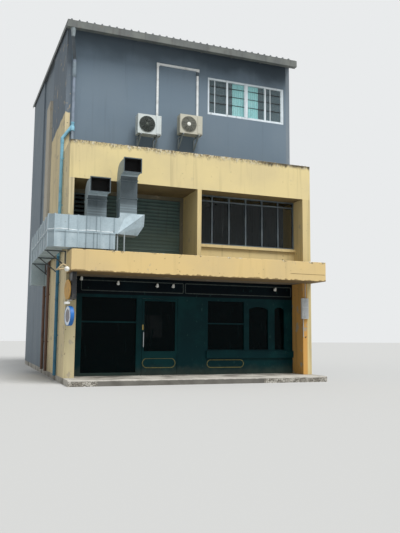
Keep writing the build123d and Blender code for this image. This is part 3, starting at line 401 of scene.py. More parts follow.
@dataclass(frozen=True)
class Concrete(Finish):
    """Worn step and slab: pale broken edge, rounded stones at both ends and plain concrete between."""

    dark: str = "77736B"
    stones_before: float = -2.8
    stones_after: float = 1.6

    def coat(self, shade: Shader) -> None:
        """Lay concrete, then painted shade on its front with stones at the ends, then the pale edge.

        Args:
            shade: Nodes that it fills.
        """
        shade.over(shade.noise(1.6, 7.0).ease(0.38, 0.66), self.dark)
        pattern = {"Vector": shade.stretched((1.0, 1.0, 1.5)), "Scale": 13.0}
        cells = shade.value("ShaderNodeTexVoronoi", {"feature": "DISTANCE_TO_EDGE"}, pattern)
        stones = cells.ease(0.02, 0.09)
        ends = (shade.x < self.stones_before) + (shade.x > self.stones_after)
        front = shade.facing[1] < -0.5
        laid = front * ends * (shade.z < 0.115)
        tints = shade.lay(shade.noise(9.0, 1.0).ease(0.4, 0.6), "B7B3A9", "8A857B")
        # painted shade: the front face below the lip is darkened
        shade.over(front * (shade.z < 0.118) * 0.8, "56544F")
        shade.over(laid, shade.lay(stones, "48443D", tints))
        lip = shade.ragged(0.07, 7.0, 6.0).ease(0.115, 0.135) * (shade.y < -6.24)
        shade.over(lip * 0.8, "CFCBC2")
        shade.spots("4C4942", 0.6, 0.62, 0.7, 30.0, 5.0)
        height = shade.noise(26.0, 6.0) * 0.5 + (1 - laid * (1 - stones)) * 0.5
        shade.close(0.86, height, 0.008, Specular_IOR_Level=0.25)


@dataclass(frozen=True)
class Timber(Finish):
    """Gloss painted joinery: brush marks, dust near the ground and gilded raised lines."""

    cloud: str = "0A3335"
    line: str = "6E6A45"
    bead_front: float = -4.888
    lines: Pair = (0.3, 0.598)
    shine: float = 0.03

    def coat(self, shade: Shader) -> None:
        """Lay paint, dust and scuffs, then the worn gilding between two heights.

        Args:
            shade: Nodes that it fills.
        """
        clouds = shade.noise(1.8, 4.0)
        shade.over(clouds.ease(0.4, 0.7), self.cloud)
        dust = shade.ragged(0.3, 5.0, 5.0).ease(0.45, 0.15)
        shade.over(dust * 0.3, "5B5A4C")
        shade.spots("31504C", 0.4, 0.66, 0.7, 14.0, 8.0, (1.0, 1.0, 0.5))
        flat = (shade.y - self.bead_front).size() < 0.0015
        raised = flat * (shade.z > self.lines[0]) * (shade.z < self.lines[1])
        shade.over(raised * (0.55 + 0.45 * shade.noise(40.0, 3.0).ease(0.3, 0.55)), self.line)
        roughness = 0.34 + 0.22 * clouds + 0.25 * dust
        brush = shade.noise(6.0, 6.0, (14.0, 14.0, 0.6))
        shade.close(roughness, brush, 0.0012, Coat_Weight=self.shine, Specular_IOR_Level=0.06)


@dataclass(frozen=True)
class Zinc(Finish):
    """Galvanised sheet: panels of unequal tone that bulge a little, with painted highlights in their middles,
    spangle, run marks, painted shade beside the joints and on faces that look left, and painted shade and
    reflections on the stack fronts.
    """

    dull: str = "82929A"
    runs_and_painted_shade: str = "5F6D74"
    split: float = 3.73
    side_panel: float = 0.56
    stack_shade_from: float = 4.14
    hopper_top: float = 4.28
    upper_joints: tuple[float, ...] = (-0.06, 0.374, 0.62, 1.067)
    lower_joints: tuple[float, ...] = (-0.131, 0.366, 0.56, 0.652, 0.965)

    def panels(self, shade: Shader, joints: tuple[float, ...]) -> tuple[Value, Value]:
        """Panels between upright joints.

        Args:
            shade: Nodes that it fills.
            joints: Places of the joints along the facade.

        Returns:
            Number of the panel, and distance to the nearest joint.
        """
        count: Number = 0.0
        reach: Number = 9.0
        for joint in joints:
            apart = shade.x - (joint + CORNER.x)
            count = (apart > 0.0) + count
            reach = shade.math("MINIMUM", apart.size(), reach)
        return count, reach

    def coat(self, shade: Shader) -> None:
        """Lay the panels' tones, spangle, a painted highlight in each panel's middle, painted shade beside
        the joints and on faces that look left, and the runs.

        Args:
            shade: Nodes that it fills.
        """
        cells = shade.node("ShaderNodeTexVoronoi", {}, {"Vector": shade.place, "Scale": 42.0})
        spangle = shade.parts(cells.outputs["Color"])[0]
        clouds = shade.noise(2.3, 5.0)
        above = shade.z > self.split
        high, high_reach = self.panels(shade, self.upper_joints)
        low, low_reach = self.panels(shade, self.lower_joints)
        level = shade.math("FLOOR", shade.y * (1 / self.side_panel))
        count = above * high + (1 - above) * (low + 17.0) + level * 5.0
        tone = shade.value("ShaderNodeTexWhiteNoise", {"noise_dimensions": "1D"}, {"W": count})
        front = shade.facing[1] < -0.5
        reach = (above * high_reach + (1 - above) * low_reach) * front + (1 - front) * 0.2
        shade.over(tone * 0.4, "8D9DA5")
        shade.over(spangle * 0.2, self.dull)
        # painted highlight: panel middles, away from the joints, are lighter
        shade.over(clouds.ease(0.45, 0.7) * reach.ease(0.03, 0.2) * 0.5, "CEDBE0")
        # painted shade: darker right beside each joint
        shade.over(reach.ease(0.03, 0.006) * 0.4, self.runs_and_painted_shade)
        shade.spots(self.runs_and_painted_shade, 0.25, 0.55, 0.75, 1.5, 4.0, (8.0, 8.0, 0.6))
        shade.spots("7B776C", 0.35, 0.66, 0.72, 11.0, 6.0)
        # painted shade: faces that look left are darker
        shade.over((shade.facing[0] < -0.5) * (0.3 + 0.3 * clouds), self.runs_and_painted_shade)
        self.painted_stack_shade(shade, clouds)
        height = shade.noise(1.7, 2.0) + reach.ease(0.0, 0.15) * 0.3
        roughness = 0.36 + 0.14 * spangle + 0.2 * clouds
        shade.close(roughness, height, 0.02, Metallic=0.3)

    def painted_stack_shade(self, shade: Shader, clouds: Value) -> None:
        """Paint shade on the fronts of the stacks below their overhanging bends, lighter towards their feet,
        where faint level lines of painted reflection lie.

        Args:
            shade: Nodes that it fills.
            clouds: Pattern that thins it.
        """
        on_hopper = shade.x > self.upper_joints[-1] + CORNER.x
        from_foot = shade.z - self.stack_shade_from - on_hopper * (self.hopper_top - self.stack_shade_from)
        stack = (from_foot > 0.0) * (shade.facing[1] < -0.7)
        # painted shade under the overhanging bends
        shade.over(stack * (0.7 + 0.3 * clouds), "2B363B")
        foot = from_foot.ease(0.3, 0.15) * stack
        marks = shade.z.from_middle(0.067).ease(0.36, 0.46)
        # painted highlight and reflection lines at the feet
        shade.over(foot * (0.35 + marks * 0.4), "93A3A9")


@dataclass(frozen=True)
class CoatedSheet(Finish):
    """Painted steel or aluminium: chalked paint, rain marks and rust at the edges."""

    chalk: str
    rust: float = 0.2
    gloss: float = 0.45
    metal: float = 0.0
    rib_pitch: float = 0.0
    second_paint: Optional[str] = None
    second_from: float = 0.0

    def coat(self, shade: Shader) -> None:
        """Lay paint, run marks and rust, and press the ribs, with painted shade in their grooves and a
        lighter tone lower down.

        Args:
            shade: Nodes that it fills.
        """
        clouds = shade.noise(2.6, 6.0)
        shade.over(clouds.ease(0.36, 0.7) * 0.7, self.chalk)
        if self.second_paint:
            shade.over(shade.x > self.second_from, self.second_paint)
        shade.spots("3D3A33", 0.4, 0.54, 0.74, 2.2, 4.0, (5.0, 5.0, 0.5))
        shade.spots("70472C", self.rust, 0.64, 0.7, 9.0, 8.0)
        height, relief = shade.noise(20.0, 3.0), 0.001
        if self.rib_pitch:
            wave = shade.z.from_middle(self.rib_pitch)
            # painted shade in the rib grooves
            shade.over(wave.ease(0.3, 0.42) * 0.6, "2A3534")
            # lighter below 4.5 metres, darker towards the top
            shade.over(shade.z.ease(4.5, 3.9) * 0.5, "75897E")
            height, relief = wave.ease(0.1, 0.4), 0.01
        shade.close(self.gloss + 0.25 * clouds, height, relief, Metallic=self.metal)


@dataclass(frozen=True)
class Glazing(Finish):
    """Dark window glass with a film of dust and rain marks, and a pale painted reflection on the upper glass.
    """

    solid: float
    dust: str = "5D6868"
    mirror: float = 0.5
    upper_reflection_tint: Optional[str] = None
    upper_from: float = 7.0

    def coat(self, shade: Shader) -> None:
        """Lay the tint, the painted reflection on the upper glass and the film, which is less clear where
        rain has smeared it.

        Args:
            shade: Nodes that it fills.
        """
        film = shade.noise(2.4, 6.0)
        smears = shade.noise(3.0, 5.0, (5.0, 5.0, 0.7)).ease(0.5, 0.8)
        # painted reflection: pale tone on glass above the upper height
        if self.upper_reflection_tint:
            shade.over(shade.z > self.upper_from, self.upper_reflection_tint)
        shade.over(smears * 0.3 + film * 0.1, self.dust)
        shade.close(0.04 + 0.08 * film, Alpha=self.solid + smears * 0.12, Specular_IOR_Level=self.mirror)


@dataclass(frozen=True)
class Moulding(Finish):
    """Plastic greyed by dust, which may change colour at some heights."""

    gloss: float = 0.4
    bands: tuple[tuple[float, str], ...] = ()

    def coat(self, shade: Shader) -> None:
        """Lay the colours from the lowest up, then dust and spots.

        Args:
            shade: Nodes that it fills.
        """
        for height, tone in self.bands:
            shade.over(shade.z > height, tone)
        clouds = shade.noise(5.0, 5.0)
        shade.over(clouds.ease(0.45, 0.7) * 0.35, "8D8A7E", Mixing.STAIN)
        shade.spots("4E4A40", 0.3, 0.62, 0.7, 22.0, 5.0)
        shade.close(self.gloss + 0.3 * clouds, shade.noise(60.0, 2.0), 0.0004)


@dataclass(frozen=True)
class Enamel(Finish):
    """Stove enamel on a machine casing, with rust specks and rain marks."""

    aged: str = "BFBCAB"
    aged_from: float = -0.45

    def coat(self, shade: Shader) -> None:
        """Lay both casings' enamel, then runs and rust.

        Args:
            shade: Nodes that it fills.
        """
        clouds = shade.noise(3.0, 5.0)
        shade.over(shade.x > self.aged_from, self.aged)
        shade.over(clouds.ease(0.4, 0.7) * 0.3, "B9BBB0")
        shade.spots("7E7C70", 0.35, 0.56, 0.76, 3.0, 5.0, (8.0, 8.0, 0.6))
        shade.spots("7A4E30", 0.6, 0.67, 0.72, 16.0, 7.0)
        shade.close(0.42 + 0.2 * clouds, shade.noise(70.0, 2.0), 0.0003)


@dataclass(frozen=True)
class SignFaces(Finish):
    """Bare faces of the hanging signs: amber oval, black case, grey disc in a white and a blue ring."""

    drum_centre: Point
    drum_radius: float
    turn: float
    ring_radius: float = 0.16
    case_from: float = 0.045

    def coat(self, shade: Shader) -> None:
        """Lay the drum's disc and rings below, the oval and the case above, then dust.

        Args:
            shade: Nodes that it fills.
        """
        centre = Vector(self.drum_centre) + CORNER
        turn = math.radians(self.turn)
        across = (shade.y - centre.y) * math.cos(turn) - (shade.x - centre.x) * math.sin(turn)
        up = shade.z - centre.z
        radius = shade.math("SQRT", across * across + up * up)
        shade.over(radius > self.ring_radius, "DDE6EE")
        shade.over(radius > self.drum_radius, "1768B4")
        upper = shade.lay(shade.x > self.case_from + CORNER.x, "BD8C27", "14181D")
        shade.over(shade.z > centre.z + 0.3, upper)
        dust = shade.noise(7.0, 6.0)
        shade.over(dust.ease(0.48, 0.72) * 0.4, "6E675A")
        shade.close(0.35 + 0.3 * dust, shade.noise(50.0, 2.0), 0.0004)


@dataclass(frozen=True)
class Cloth(Finish):
    """Thin woven curtain cloth, with a painted glow in place of the light that comes through it."""

    painted_glow_strength: float = 0.18
    thread: float = 0.0016

    def coat(self, shade: Shader) -> None:
        """Lay the faded dye and the painted glow, and weave the threads as relief.

        Args:
            shade: Nodes that it fills.
        """
        weave = shade.x.from_middle(self.thread) + shade.z.from_middle(self.thread)
        shade.spots("CBF5F1", 0.4, 0.4, 0.7, 3.0, 4.0)
        # painted light: the cloth glows in its own colour
        glow = {"Emission_Color": shade.colour, "Emission_Strength": self.painted_glow_strength}
        shade.close(0.85, weave * 0.5, 0.0004, Sheen_Weight=0.3, **glow)


ENAMEL = Enamel("casing_enamel", "CED6D5")
DARK_PLASTIC = Moulding("dark_moulding", "343A34")
TRUNK_PLASTIC = Moulding("trunk_plastic", "E3E6E5")


class Shape:
    """Mesh of one piece, gathered from simple forms."""

    def __init__(self) -> None:
        """Start with nothing."""
        self.points: list[Vector] = []
        self.faces: list[tuple[int, ...]] = []

    def grid(
        self, rows: Sequence[Sequence[Spot]], ring: bool = False, loop: bool = False, capped: bool = False
    ) -> "Shape":
        """Skin rows of points.

        Args:
            rows: Rows with as many points each.
            ring: Whether each row closes on itself.
            loop: Whether the last row joins the first.
            capped: Whether a face closes each end.

        Returns:
            This shape.
        """
        start = len(self.points)
        count = len(rows[0])
        self.points += [Vector(point) for row in rows for point in row]
        for row in range(len(rows) if loop else len(rows) - 1):
            here = start + row * count
            there = start + (row + 1) % len(rows) * count
            for step in range(count if ring else count - 1):
                beside = (step + 1) % count
                self.faces.append((here + step, here + beside, there + beside, there + step))
        if capped:
            self.cap(rows[0][::-1])
            self.cap(rows[-1])
        return self

    def cap(self, points: Sequence[Spot]) -> None:
        """Add one face through the given points."""
        self.faces.append(tuple(range(len(self.points), len(self.points) + len(points))))
        self.points += [Vector(point) for point in points]

    def bar(self, low: Point, high: Point) -> "Shape":
        """Add a box between two corners."""
        corners = ((low[0], low[1]), (high[0], low[1]), (high[0], high[1]), (low[0], high[1]))
        return self.grid([[(x, y, z) for x, y in corners] for z in (low[2], high[2])], ring=True, capped=True)

    def bars(self, boxes: Sequence[Box]) -> "Shape":
        """Add several boxes.

        Args:
            boxes: Low and high corner of each.

        Returns:
            This shape.
        """
        for low, high in boxes:
            self.bar(low, high)
        return self

    def tube(self, path: Sequence[Spot], radius: float, sides: int = 8, loop: bool = False) -> "Shape":
        """Sweep a round bar along a path.

        Args:
            path: Points on its centre line.
            radius: Radius of the bar.
            sides: Flats round it.
            loop: Whether the path closes on itself.

        Returns:
            This shape.
        """
        points = [Vector(point) for point in path]
        last = len(points) - 1
        rows = []
        side: Optional[Vector] = None
        for step, point in enumerate(points):
            before = points[step - 1] if loop or step else point
            after = points[(step + 1) % len(points)] if loop or step < last else point
            along = (after - before).normalized()
            if side is None:
                side = along.orthogonal().normalized()
            side = (side - along * side.dot(along)).normalized()
            other = along.cross(side)
            rows.append([point + (side * across + other * up) * radius for across, up in circle(sides)])
        return self.grid(rows, ring=True, loop=loop, capped=not loop)

    def hoop(
        self, centre: Vector, radius: float, wire: float, steps: int, sides: int, turn: Matrix = Axis.UP.value
    ) -> "Shape":
        """Bend wire to an upright circle, which lies along the facade unless it is turned."""
        path = [centre + turn @ Vector((across, 0, up)) * radius for across, up in circle(steps)]
        return self.tube(path, wire, sides, loop=True)

    def turned(self, centre: Spot, axis: Axis, profile: Sequence[Pair], sides: int = 24) -> "Shape":
        """Turn a profile about an axis.

        Args:
            centre: Point on the axis.
            axis: Direction of the axis.
            profile: Pairs of radius and height along the axis.
            sides: Flats round it.

        Returns:
            This shape.
        """
        rows = []
        for radius, height in profile:
            row = [Vector((across * radius, up * radius, height)) for across, up in circle(sides)]
            rows.append([Vector(centre) + axis.value @ point for point in row])
        return self.grid(rows, ring=True)

    def place(
        self, name: str, finish: Finish, slot: str, body: Body = Body.BUILDING, bevel: float = 0.0,
        smooth: bool = True, sheet: float = 0.0,
    ) -> bpy.types.Object:
        """Make the object and hang it on its body.

        Args:
            name: Name of the piece.
            finish: Its finish.
            slot: Slot of the record; not used.
            body: Part that it moves with.
            bevel: Width of its rounded edges.
            smooth: Whether gentle edges are shaded round.
            sheet: Thickness that its faces are given.

        Returns:
            The object.
        """
        mesh = bpy.data.meshes.new(name)
        mesh.from_pydata([point + CORNER for point in self.points], [], self.faces)
        mesh.materials.append(finish.material())
        mesh.validate()
        piece = bpy.data.objects.new(name, mesh)
        bpy.context.scene.collection.objects.link(piece)
        if smooth:
            mesh.shade_smooth()
            mesh.set_sharp_from_angle(angle=math.radians(40))
        if bevel:
            rounding = piece.modifiers.new("rounded", "BEVEL")
            rounding.width = bevel
            rounding.segments = 2
        if sheet:
            thick = piece.modifiers.new("sheet", "SOLIDIFY")
            thick.thickness = sheet
            thick.offset = 0
        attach(piece, body.value)
        return piece


def dress(finish: Finish, *nodes: str) -> None:
    """Give the solids of some nodes one finish.

    Args:
        finish: The finish.
        nodes: Names of the nodes.
    """
    for name in nodes:
        node = frame["nodes"][name]
        if not node.material_slots:
            node.data.materials.append(finish.material())
        for place in node.material_slots:
            place.material = finish.material()
        log.info("%s wears %s", name, finish.name)


@dataclass
class Masonry:
    """Walls, piers, floors, canopy and sunshade, with the broken crust on the sunshade."""

    crest: float = 6.21
    canopy_top: float = 3.27
    pier_top: float = 2.75
    crust_depth: float = 0.12
    crust_height: float = 0.022
    crust_steps: int = 240
    crust_sunk: float = 0.004
    crust_wander: float = 0.012
    seed: int = 7

    def finish(self) -> None:
        """Dress the masonry solids."""
        # The underside colours given to these renders are painted shade on faces that look down.
        dress(Render("sunshade_render", "DFCD98", crest=self.crest, streaks=0.2, flaking=0.05,
                     soffit_shade="4E3B22", mould_from=2.2), "sunshade")
        dress(Render("canopy_render", "DABF86", grime="5B4B36", crest=self.canopy_top, crest_depth=0.02,
                     streaks=0.12, flaking=0.1, foot=2.74, soffit_shade="6E5B40"), "canopy")
        pier = Patch("C3B791", self.pier_top, turn=-0.5)
        dress(Render("side_wall_render", "D8C8A0", streaks=0.5, flaking=0.5, upper_paint="68737D",
                     patches=(pier,)), "left_wall_front")
        ochre = Patch("CC9C56", self.pier_top, start=2.0)
        dress(Render("pier_render", "C3B791", streaks=0.4, flaking=0.6, patches=(ochre,)), "ground_piers")
        dress(Render("bay_render", "D9C48E", streaks=0.25, flaking=0.15, soffit_shade="6B5230"),
              "fins", "bay_sill_wall")
        dress(Render("recess_render", "6F6C5B", streaks=0.4, flaking=0.3, soffit_shade="4E3B22"), "recess_wall")
        # The grey wall's head stain is partly painted shadow under the eave.
        dress(Render("grey_render", "6F7F8C", under="838F98", grime="444D55", streaks=0.12, flaking=0.0,
                     eave_stain_and_shadow=9.0), "upper_front_wall")
        plain = Render("plain_render", "7A858E", under="979EA2", grime="4A5055", streaks=0.45, flaking=0.15)
        dress(plain, "left_wall_rear", "rear_wall")
        street = Patch("D3C08C", self.crest, turn=-0.5)
        dress(replace(plain, name="party_render", patches=(street,)), "party_wall")
        dress(Render("shaft_render", "B9B2A2", streaks=0.5, flaking=0.4), "side_shaft")
        dress(Concrete("worn_concrete", "B9B5AB"), "ground_slab")
        dress(Render("ceiling_render", "A8A294", grime="55504A", soffit_shade="5A4D3B"), "floor_slabs")

    def crust(self) -> None:
        """Lay broken mortar along the top of the sunshade."""
        rng = random.Random(self.seed)
        low = self.crest - self.crust_sunk
        rows = []
        for step in range(self.crust_steps + 1):
            x = FACADE_WIDTH * step / self.crust_steps
            rise = self.crust_height * (0.15 + 0.85 * rng.random() ** 2)
            back = self.crust_depth - self.crust_wander * rng.random()
            front = self.crust_wander * rng.random()
            top = self.crest + rise
            outline = ((back, low), (back - 0.02, top - rise * 0.2), (front + 0.014, top), (front, low))
            rows.append([(x, y, z) for y, z in outline])
        mortar = Render("broken_mortar", "8B7F6B", under="A89C84", grime="2E2A24", streaks=0.0, flaking=0.9)
        Shape().grid(rows, ring=True, capped=True).place("sunshade_crust", mortar, "render_yellow")

    def build(self) -> None:
        """Dress the masonry and lay its crust."""
        self.finish()
        self.crust()


@dataclass
class Condenser:
    """Fan guard with its cap, cover, side slats, feet and hoses of one condenser."""

    name: str
    x: float
    z: float
    cap_paint: str
    cap_radius: float
    guard_paint: str
    front: float = 0.71
    width: float = 0.69
    height: float = 0.56
    fan_radius: float = 0.229
    fan_from_left: float = 0.27
    first_ring: float = 0.035
    rings: int = 17
    spokes: int = 12
    spoke_from: float = 0.03
    spoke_past: float = 0.008
    wire: float = 0.0031
    guard_gap: float = 0.004
    slats: int = 12
    slat_from: float = 0.06
    slat_pitch: float = 0.038
    slat_height: float = 0.014
    foot_places: Pair = (0.755, 0.965)
    foot_profile: Profile = ((0.0, 0.0), (0.014, 0.0), (0.011, 0.03), (0.0, 0.03))
    hose_radius: float = 0.011
    route: tuple[tuple[float, ...], ...] = (
        (0.008, 0.93, 0.10, 0.0, 1.0), (0.028, 0.95, 0.07, 0.0, 1.0), (0.030, 1.05, 0.05, 0.0, 2.0),
        (0.004, 1.14, 0.06, 0.5, 1.0), (-0.018, 1.18, 0.15, 1.0, 0.0),
    )

    @property
    def right(self) -> float:
        """Right side of the casing."""
        return self.x + self.width

    def guard(self) -> None:
        """Set the wire guard and the round cap in its middle before the fan."""
        hub = Vector((self.x + self.fan_from_left, self.front - self.guard_gap, self.z + self.height / 2))
        shape = Shape()
        for ring in range(1, self.rings + 1):
            radius = self.first_ring + (self.fan_radius - self.first_ring) * ring / self.rings
            shape.hoop(hub, radius, self.wire, 40, 4)
        ends = (self.spoke_from, self.fan_radius + self.spoke_past)
        for across, up in circle(self.spokes):
            shape.tube([hub + Vector((across, 0, up)) * reach for reach in ends], self.wire, 5)
        coating = Moulding(f"{self.name}_guard_coating", self.guard_paint)
        shape.place(f"{self.name}_fan_guard", coating, "fan_plastic")
        edge = self.cap_radius
        profile = ((0.0, -0.010), (edge * 0.7, -0.009), (edge * 0.95, -0.005), (edge, 0.002), (0.0, 0.003))
        cap = Shape().turned(hub, Axis.BACK, profile, 32)
        cap.place(f"{self.name}_guard_cap", Moulding(f"{self.name}_cap_paint", self.cap_paint), "fan_plastic")

    def casing(self) -> None:
        """Set the service cover and grips on the right, the pressed slats on the left and the feet below."""
        right, front, low = self.right, self.front, self.z
        shape = Shape().bars((
            ((right - 0.155, front - 0.002, low + 0.03), (right - 0.015, front + 0.012, low + 0.53)),
            ((right - 0.002, 0.80, low + 0.05), (right + 0.012, 0.94, low + 0.30)),
        ))
        shape.place(f"{self.name}_service_cover", ENAMEL, "casing_white", bevel=0.004)
        shape = Shape()
        for row in range(self.slats):
            low = self.z + self.slat_from + row * self.slat_pitch
            shape.bar((self.x - 0.006, 0.78, low), (self.x + 0.004, 0.95, low + self.slat_height))
        shape.place(f"{self.name}_side_slats", ENAMEL, "casing_white", bevel=0.002)
        shape = Shape()
        for x in (self.x + 0.083, self.right - 0.127):
            for y in self.foot_places:
                shape.turned((x, y, self.z - 0.03), Axis.UP, self.foot_profile, 16)
        shape.place(f"{self.name}_feet", DARK_PLASTIC, "fan_plastic")

    def hoses(self) -> None:
        """Run the two wrapped hoses from the valves up into the trunking."""
        shape = Shape()
        for gap in (0.0, 0.024):
            path = [(self.right + x + gap * out, y, self.z + z + gap * up) for x, y, z, out, up in self.route]
            shape.tube(eased(path), self.hose_radius, 10)
        shape.place(f"{self.name}_hoses", TRUNK_PLASTIC, "trunk_white")

    def build(self) -> None:
        """Make every piece of this condenser."""
        self.guard()
        self.casing()
        self.hoses()


@dataclass
class Ductwork:
    """Extract duct: screws and cleats over its joints, sealant, mouths lined with sooty black sheet that is
    also painted shade, and straps.
    """

    front: float = -0.56
    outer: float = -0.53
    foot: float = 3.33
    split: float = 3.73
    top: float = 4.13
    corner: float = 0.13
    seam_pitch: float = 0.56
    seam: float = 0.03
    proud: float = 0.014
    front_end: float = 1.1
    side_end: float = 3.6
    screw_gap: float = 0.03
    screw_rows: int = 8
    screw_pitch: float = 0.1
    screw_profile: Profile = ((0.0105, 0.0), (0.0105, 0.002), (0.006, 0.0025), (0.0055, 0.007), (0.0, 0.008))
    sunk: float = 0.003
    bead_step: float = 0.06
    bead_lift: float = 0.035
    bead_radius: float = 0.0115
    seed: int = 11
    cleat_half: float = 0.007
    cleat_length: float = 0.36
    crease_radius: float = 0.006
    creases: tuple[Point, ...] = (
        (1.15, -0.56, 3.73), (1.84, -0.56, 4.27), (1.84, -0.505, 3.98), (1.69, -0.45, 3.73),
    )
    mouth_front: float = -0.9
    mouth_depth: float = 0.26
    mouth_height: float = 0.35
    lining_gap: float = 0.0095
    stacks: tuple[Point, ...] = ((0.39, 0.87, 5.04), (1.21, 1.65, 5.61))
    strap_places: Point = (0.15, 1.8, 3.4)
    strap_width: float = 0.03
    strap_sheet: float = 0.003
    zinc: Zinc = Zinc("galvanised_sheet", "AABBC2")
    steel: Finish = CoatedSheet(
        "support_steel", "3E464A", "5A6266", rust=0.5, second_paint="98A2A5", second_from=-2.4
    )

    def beside_seams(self, corner: float, end: float) -> list[float]:
        """Places of the screws beside the standing seams of one run.

        Args:
            corner: Where the run's two faces would meet.
            end: Where the run ends.

        Returns:
            One place for each seam.
        """
        start = corner + self.corner
        seams = int((end - start) / self.seam_pitch) + 1
        return [start + number * self.seam_pitch + self.seam + self.screw_gap for number in range(seams)]

    def screws(self) -> None:
        """Set screws up each standing seam and along the stacks' joints."""
        shape = Shape()
        for row in range(self.screw_rows):
            z = self.foot + (row + 0.5) * self.screw_pitch
            for x in self.beside_seams(self.outer, self.front_end):
                shape.turned((x, self.front, z), Axis.FRONT, self.screw_profile, 6)
            for y in self.beside_seams(self.front, self.side_end):
                shape.turned((self.outer, y, z), Axis.LEFT, self.screw_profile, 6)
        out = self.proud + 0.001
        for left, right, top in self.stacks:
            for step in range(6):
                x = left + (right - left) * (step + 0.5) / 6
                for z, axis in ((top - self.mouth_height - out, Axis.DOWN), (top + out, Axis.UP)):
                    shape.turned((x, self.mouth_front + self.seam / 2, z), axis, self.screw_profile, 6)
        shape.place("duct_screws", self.zinc, "galvanised")

    def sealant(self) -> None:
        """Lay the uneven bead of sealant along the level seam."""
        rng = random.Random(self.seed)
        outer = self.outer + self.sunk
        front = self.front + self.sunk
        corners = ((outer, self.side_end - 0.1), (outer, front + self.corner), (outer + self.corner, front),
                   (self.front_end, front))
        path: list[Point] = []
        for (x, y), (next_x, next_y) in zip(corners, corners[1:]):
            steps = max(2, int(math.hypot(next_x - x, next_y - y) / self.bead_step))
            for step in range(steps):
                share = step / steps
                wave = 0.009 * math.sin(len(path) * 0.55) + rng.uniform(-0.003, 0.003)
                z = self.split + self.bead_lift + wave
                path.append((x + (next_x - x) * share, y + (next_y - y) * share, z))
        bead = Shape().tube(eased(path, 3), self.bead_radius)
        bead.place("duct_sealant", Moulding("sealant", "EDF3F4", 0.5), "galvanised")

    def cleats(self) -> None:
        """Fold thin cleats over the joints between the front panels and along the hopper's creases."""
        shape = Shape()
        upper = (self.zinc.upper_joints, self.split + 0.03)
        lower = (self.zinc.lower_joints, self.foot + 0.01)
        for joints, low in (upper, lower):
            for x in joints:
                left, right, high = x - self.cleat_half, x + self.cleat_half, low + self.cleat_length
                shape.bar((left, self.front - 0.009, low), (right, self.front + 0.002, high))
        for crease in zip(self.creases, self.creases[1:]):
            shape.tube(crease, self.crease_radius, 6)
        shape.place("duct_cleats", self.zinc, "galvanised", bevel=0.002)

    def mouths(self) -> None:
        """Line the stack mouths with sooty black sheet, closed at the back, which is painted shade where the
        duct runs on inside.
        """
        shape = Shape()
        gap = self.lining_gap
        for left, right, top in self.stacks:
            low, high = top - self.mouth_height + gap, top - gap
            corners = ((left + gap, low), (right - gap, low), (right - gap, high), (left + gap, high))
            places = (self.mouth_front + 0.012, self.mouth_front + self.mouth_depth - 0.002)
            rows = [[(x, y, z) for x, z in corners] for y in places]
            shape.grid(rows, ring=True)
            shape.cap(rows[1])
        # sooty, and painted shade: the black lining stands in for the dark inside of the duct
        painted_stack_shade = CoatedSheet("sooty_painted_shade_sheet", "0B0C0D", "17181A", rust=0.1, gloss=0.7)
        shape.place("stack_mouth_linings", painted_stack_shade, "galvanised", smooth=False)

    def straps(self) -> None:
        """Hang flat straps over the side run, down to its wall brackets."""
        outer = self.outer - self.strap_sheet
        over = self.top + self.proud + self.strap_sheet
        path = ((outer, self.foot - 0.02), (outer, over), (-0.1, over), (-0.004, self.top + 0.12))
        shape = Shape()
        for y in self.strap_places:
            shape.grid([[(x, y, z), (x, y + self.strap_width, z)] for x, z in path])
        shape.place("duct_straps", self.steel, "bracket_steel", smooth=False, sheet=self.strap_sheet)

    def build(self) -> None:
        """Dress the duct and fit its small pieces."""
        dress(self.zinc, "duct_run", "duct_drop", "duct_hopper", "exhaust_stacks")
        dress(self.steel, "duct_supports", "condenser_brackets")
        self.screws()
        self.cleats()
        self.sealant()
        self.mouths()
        self.straps()


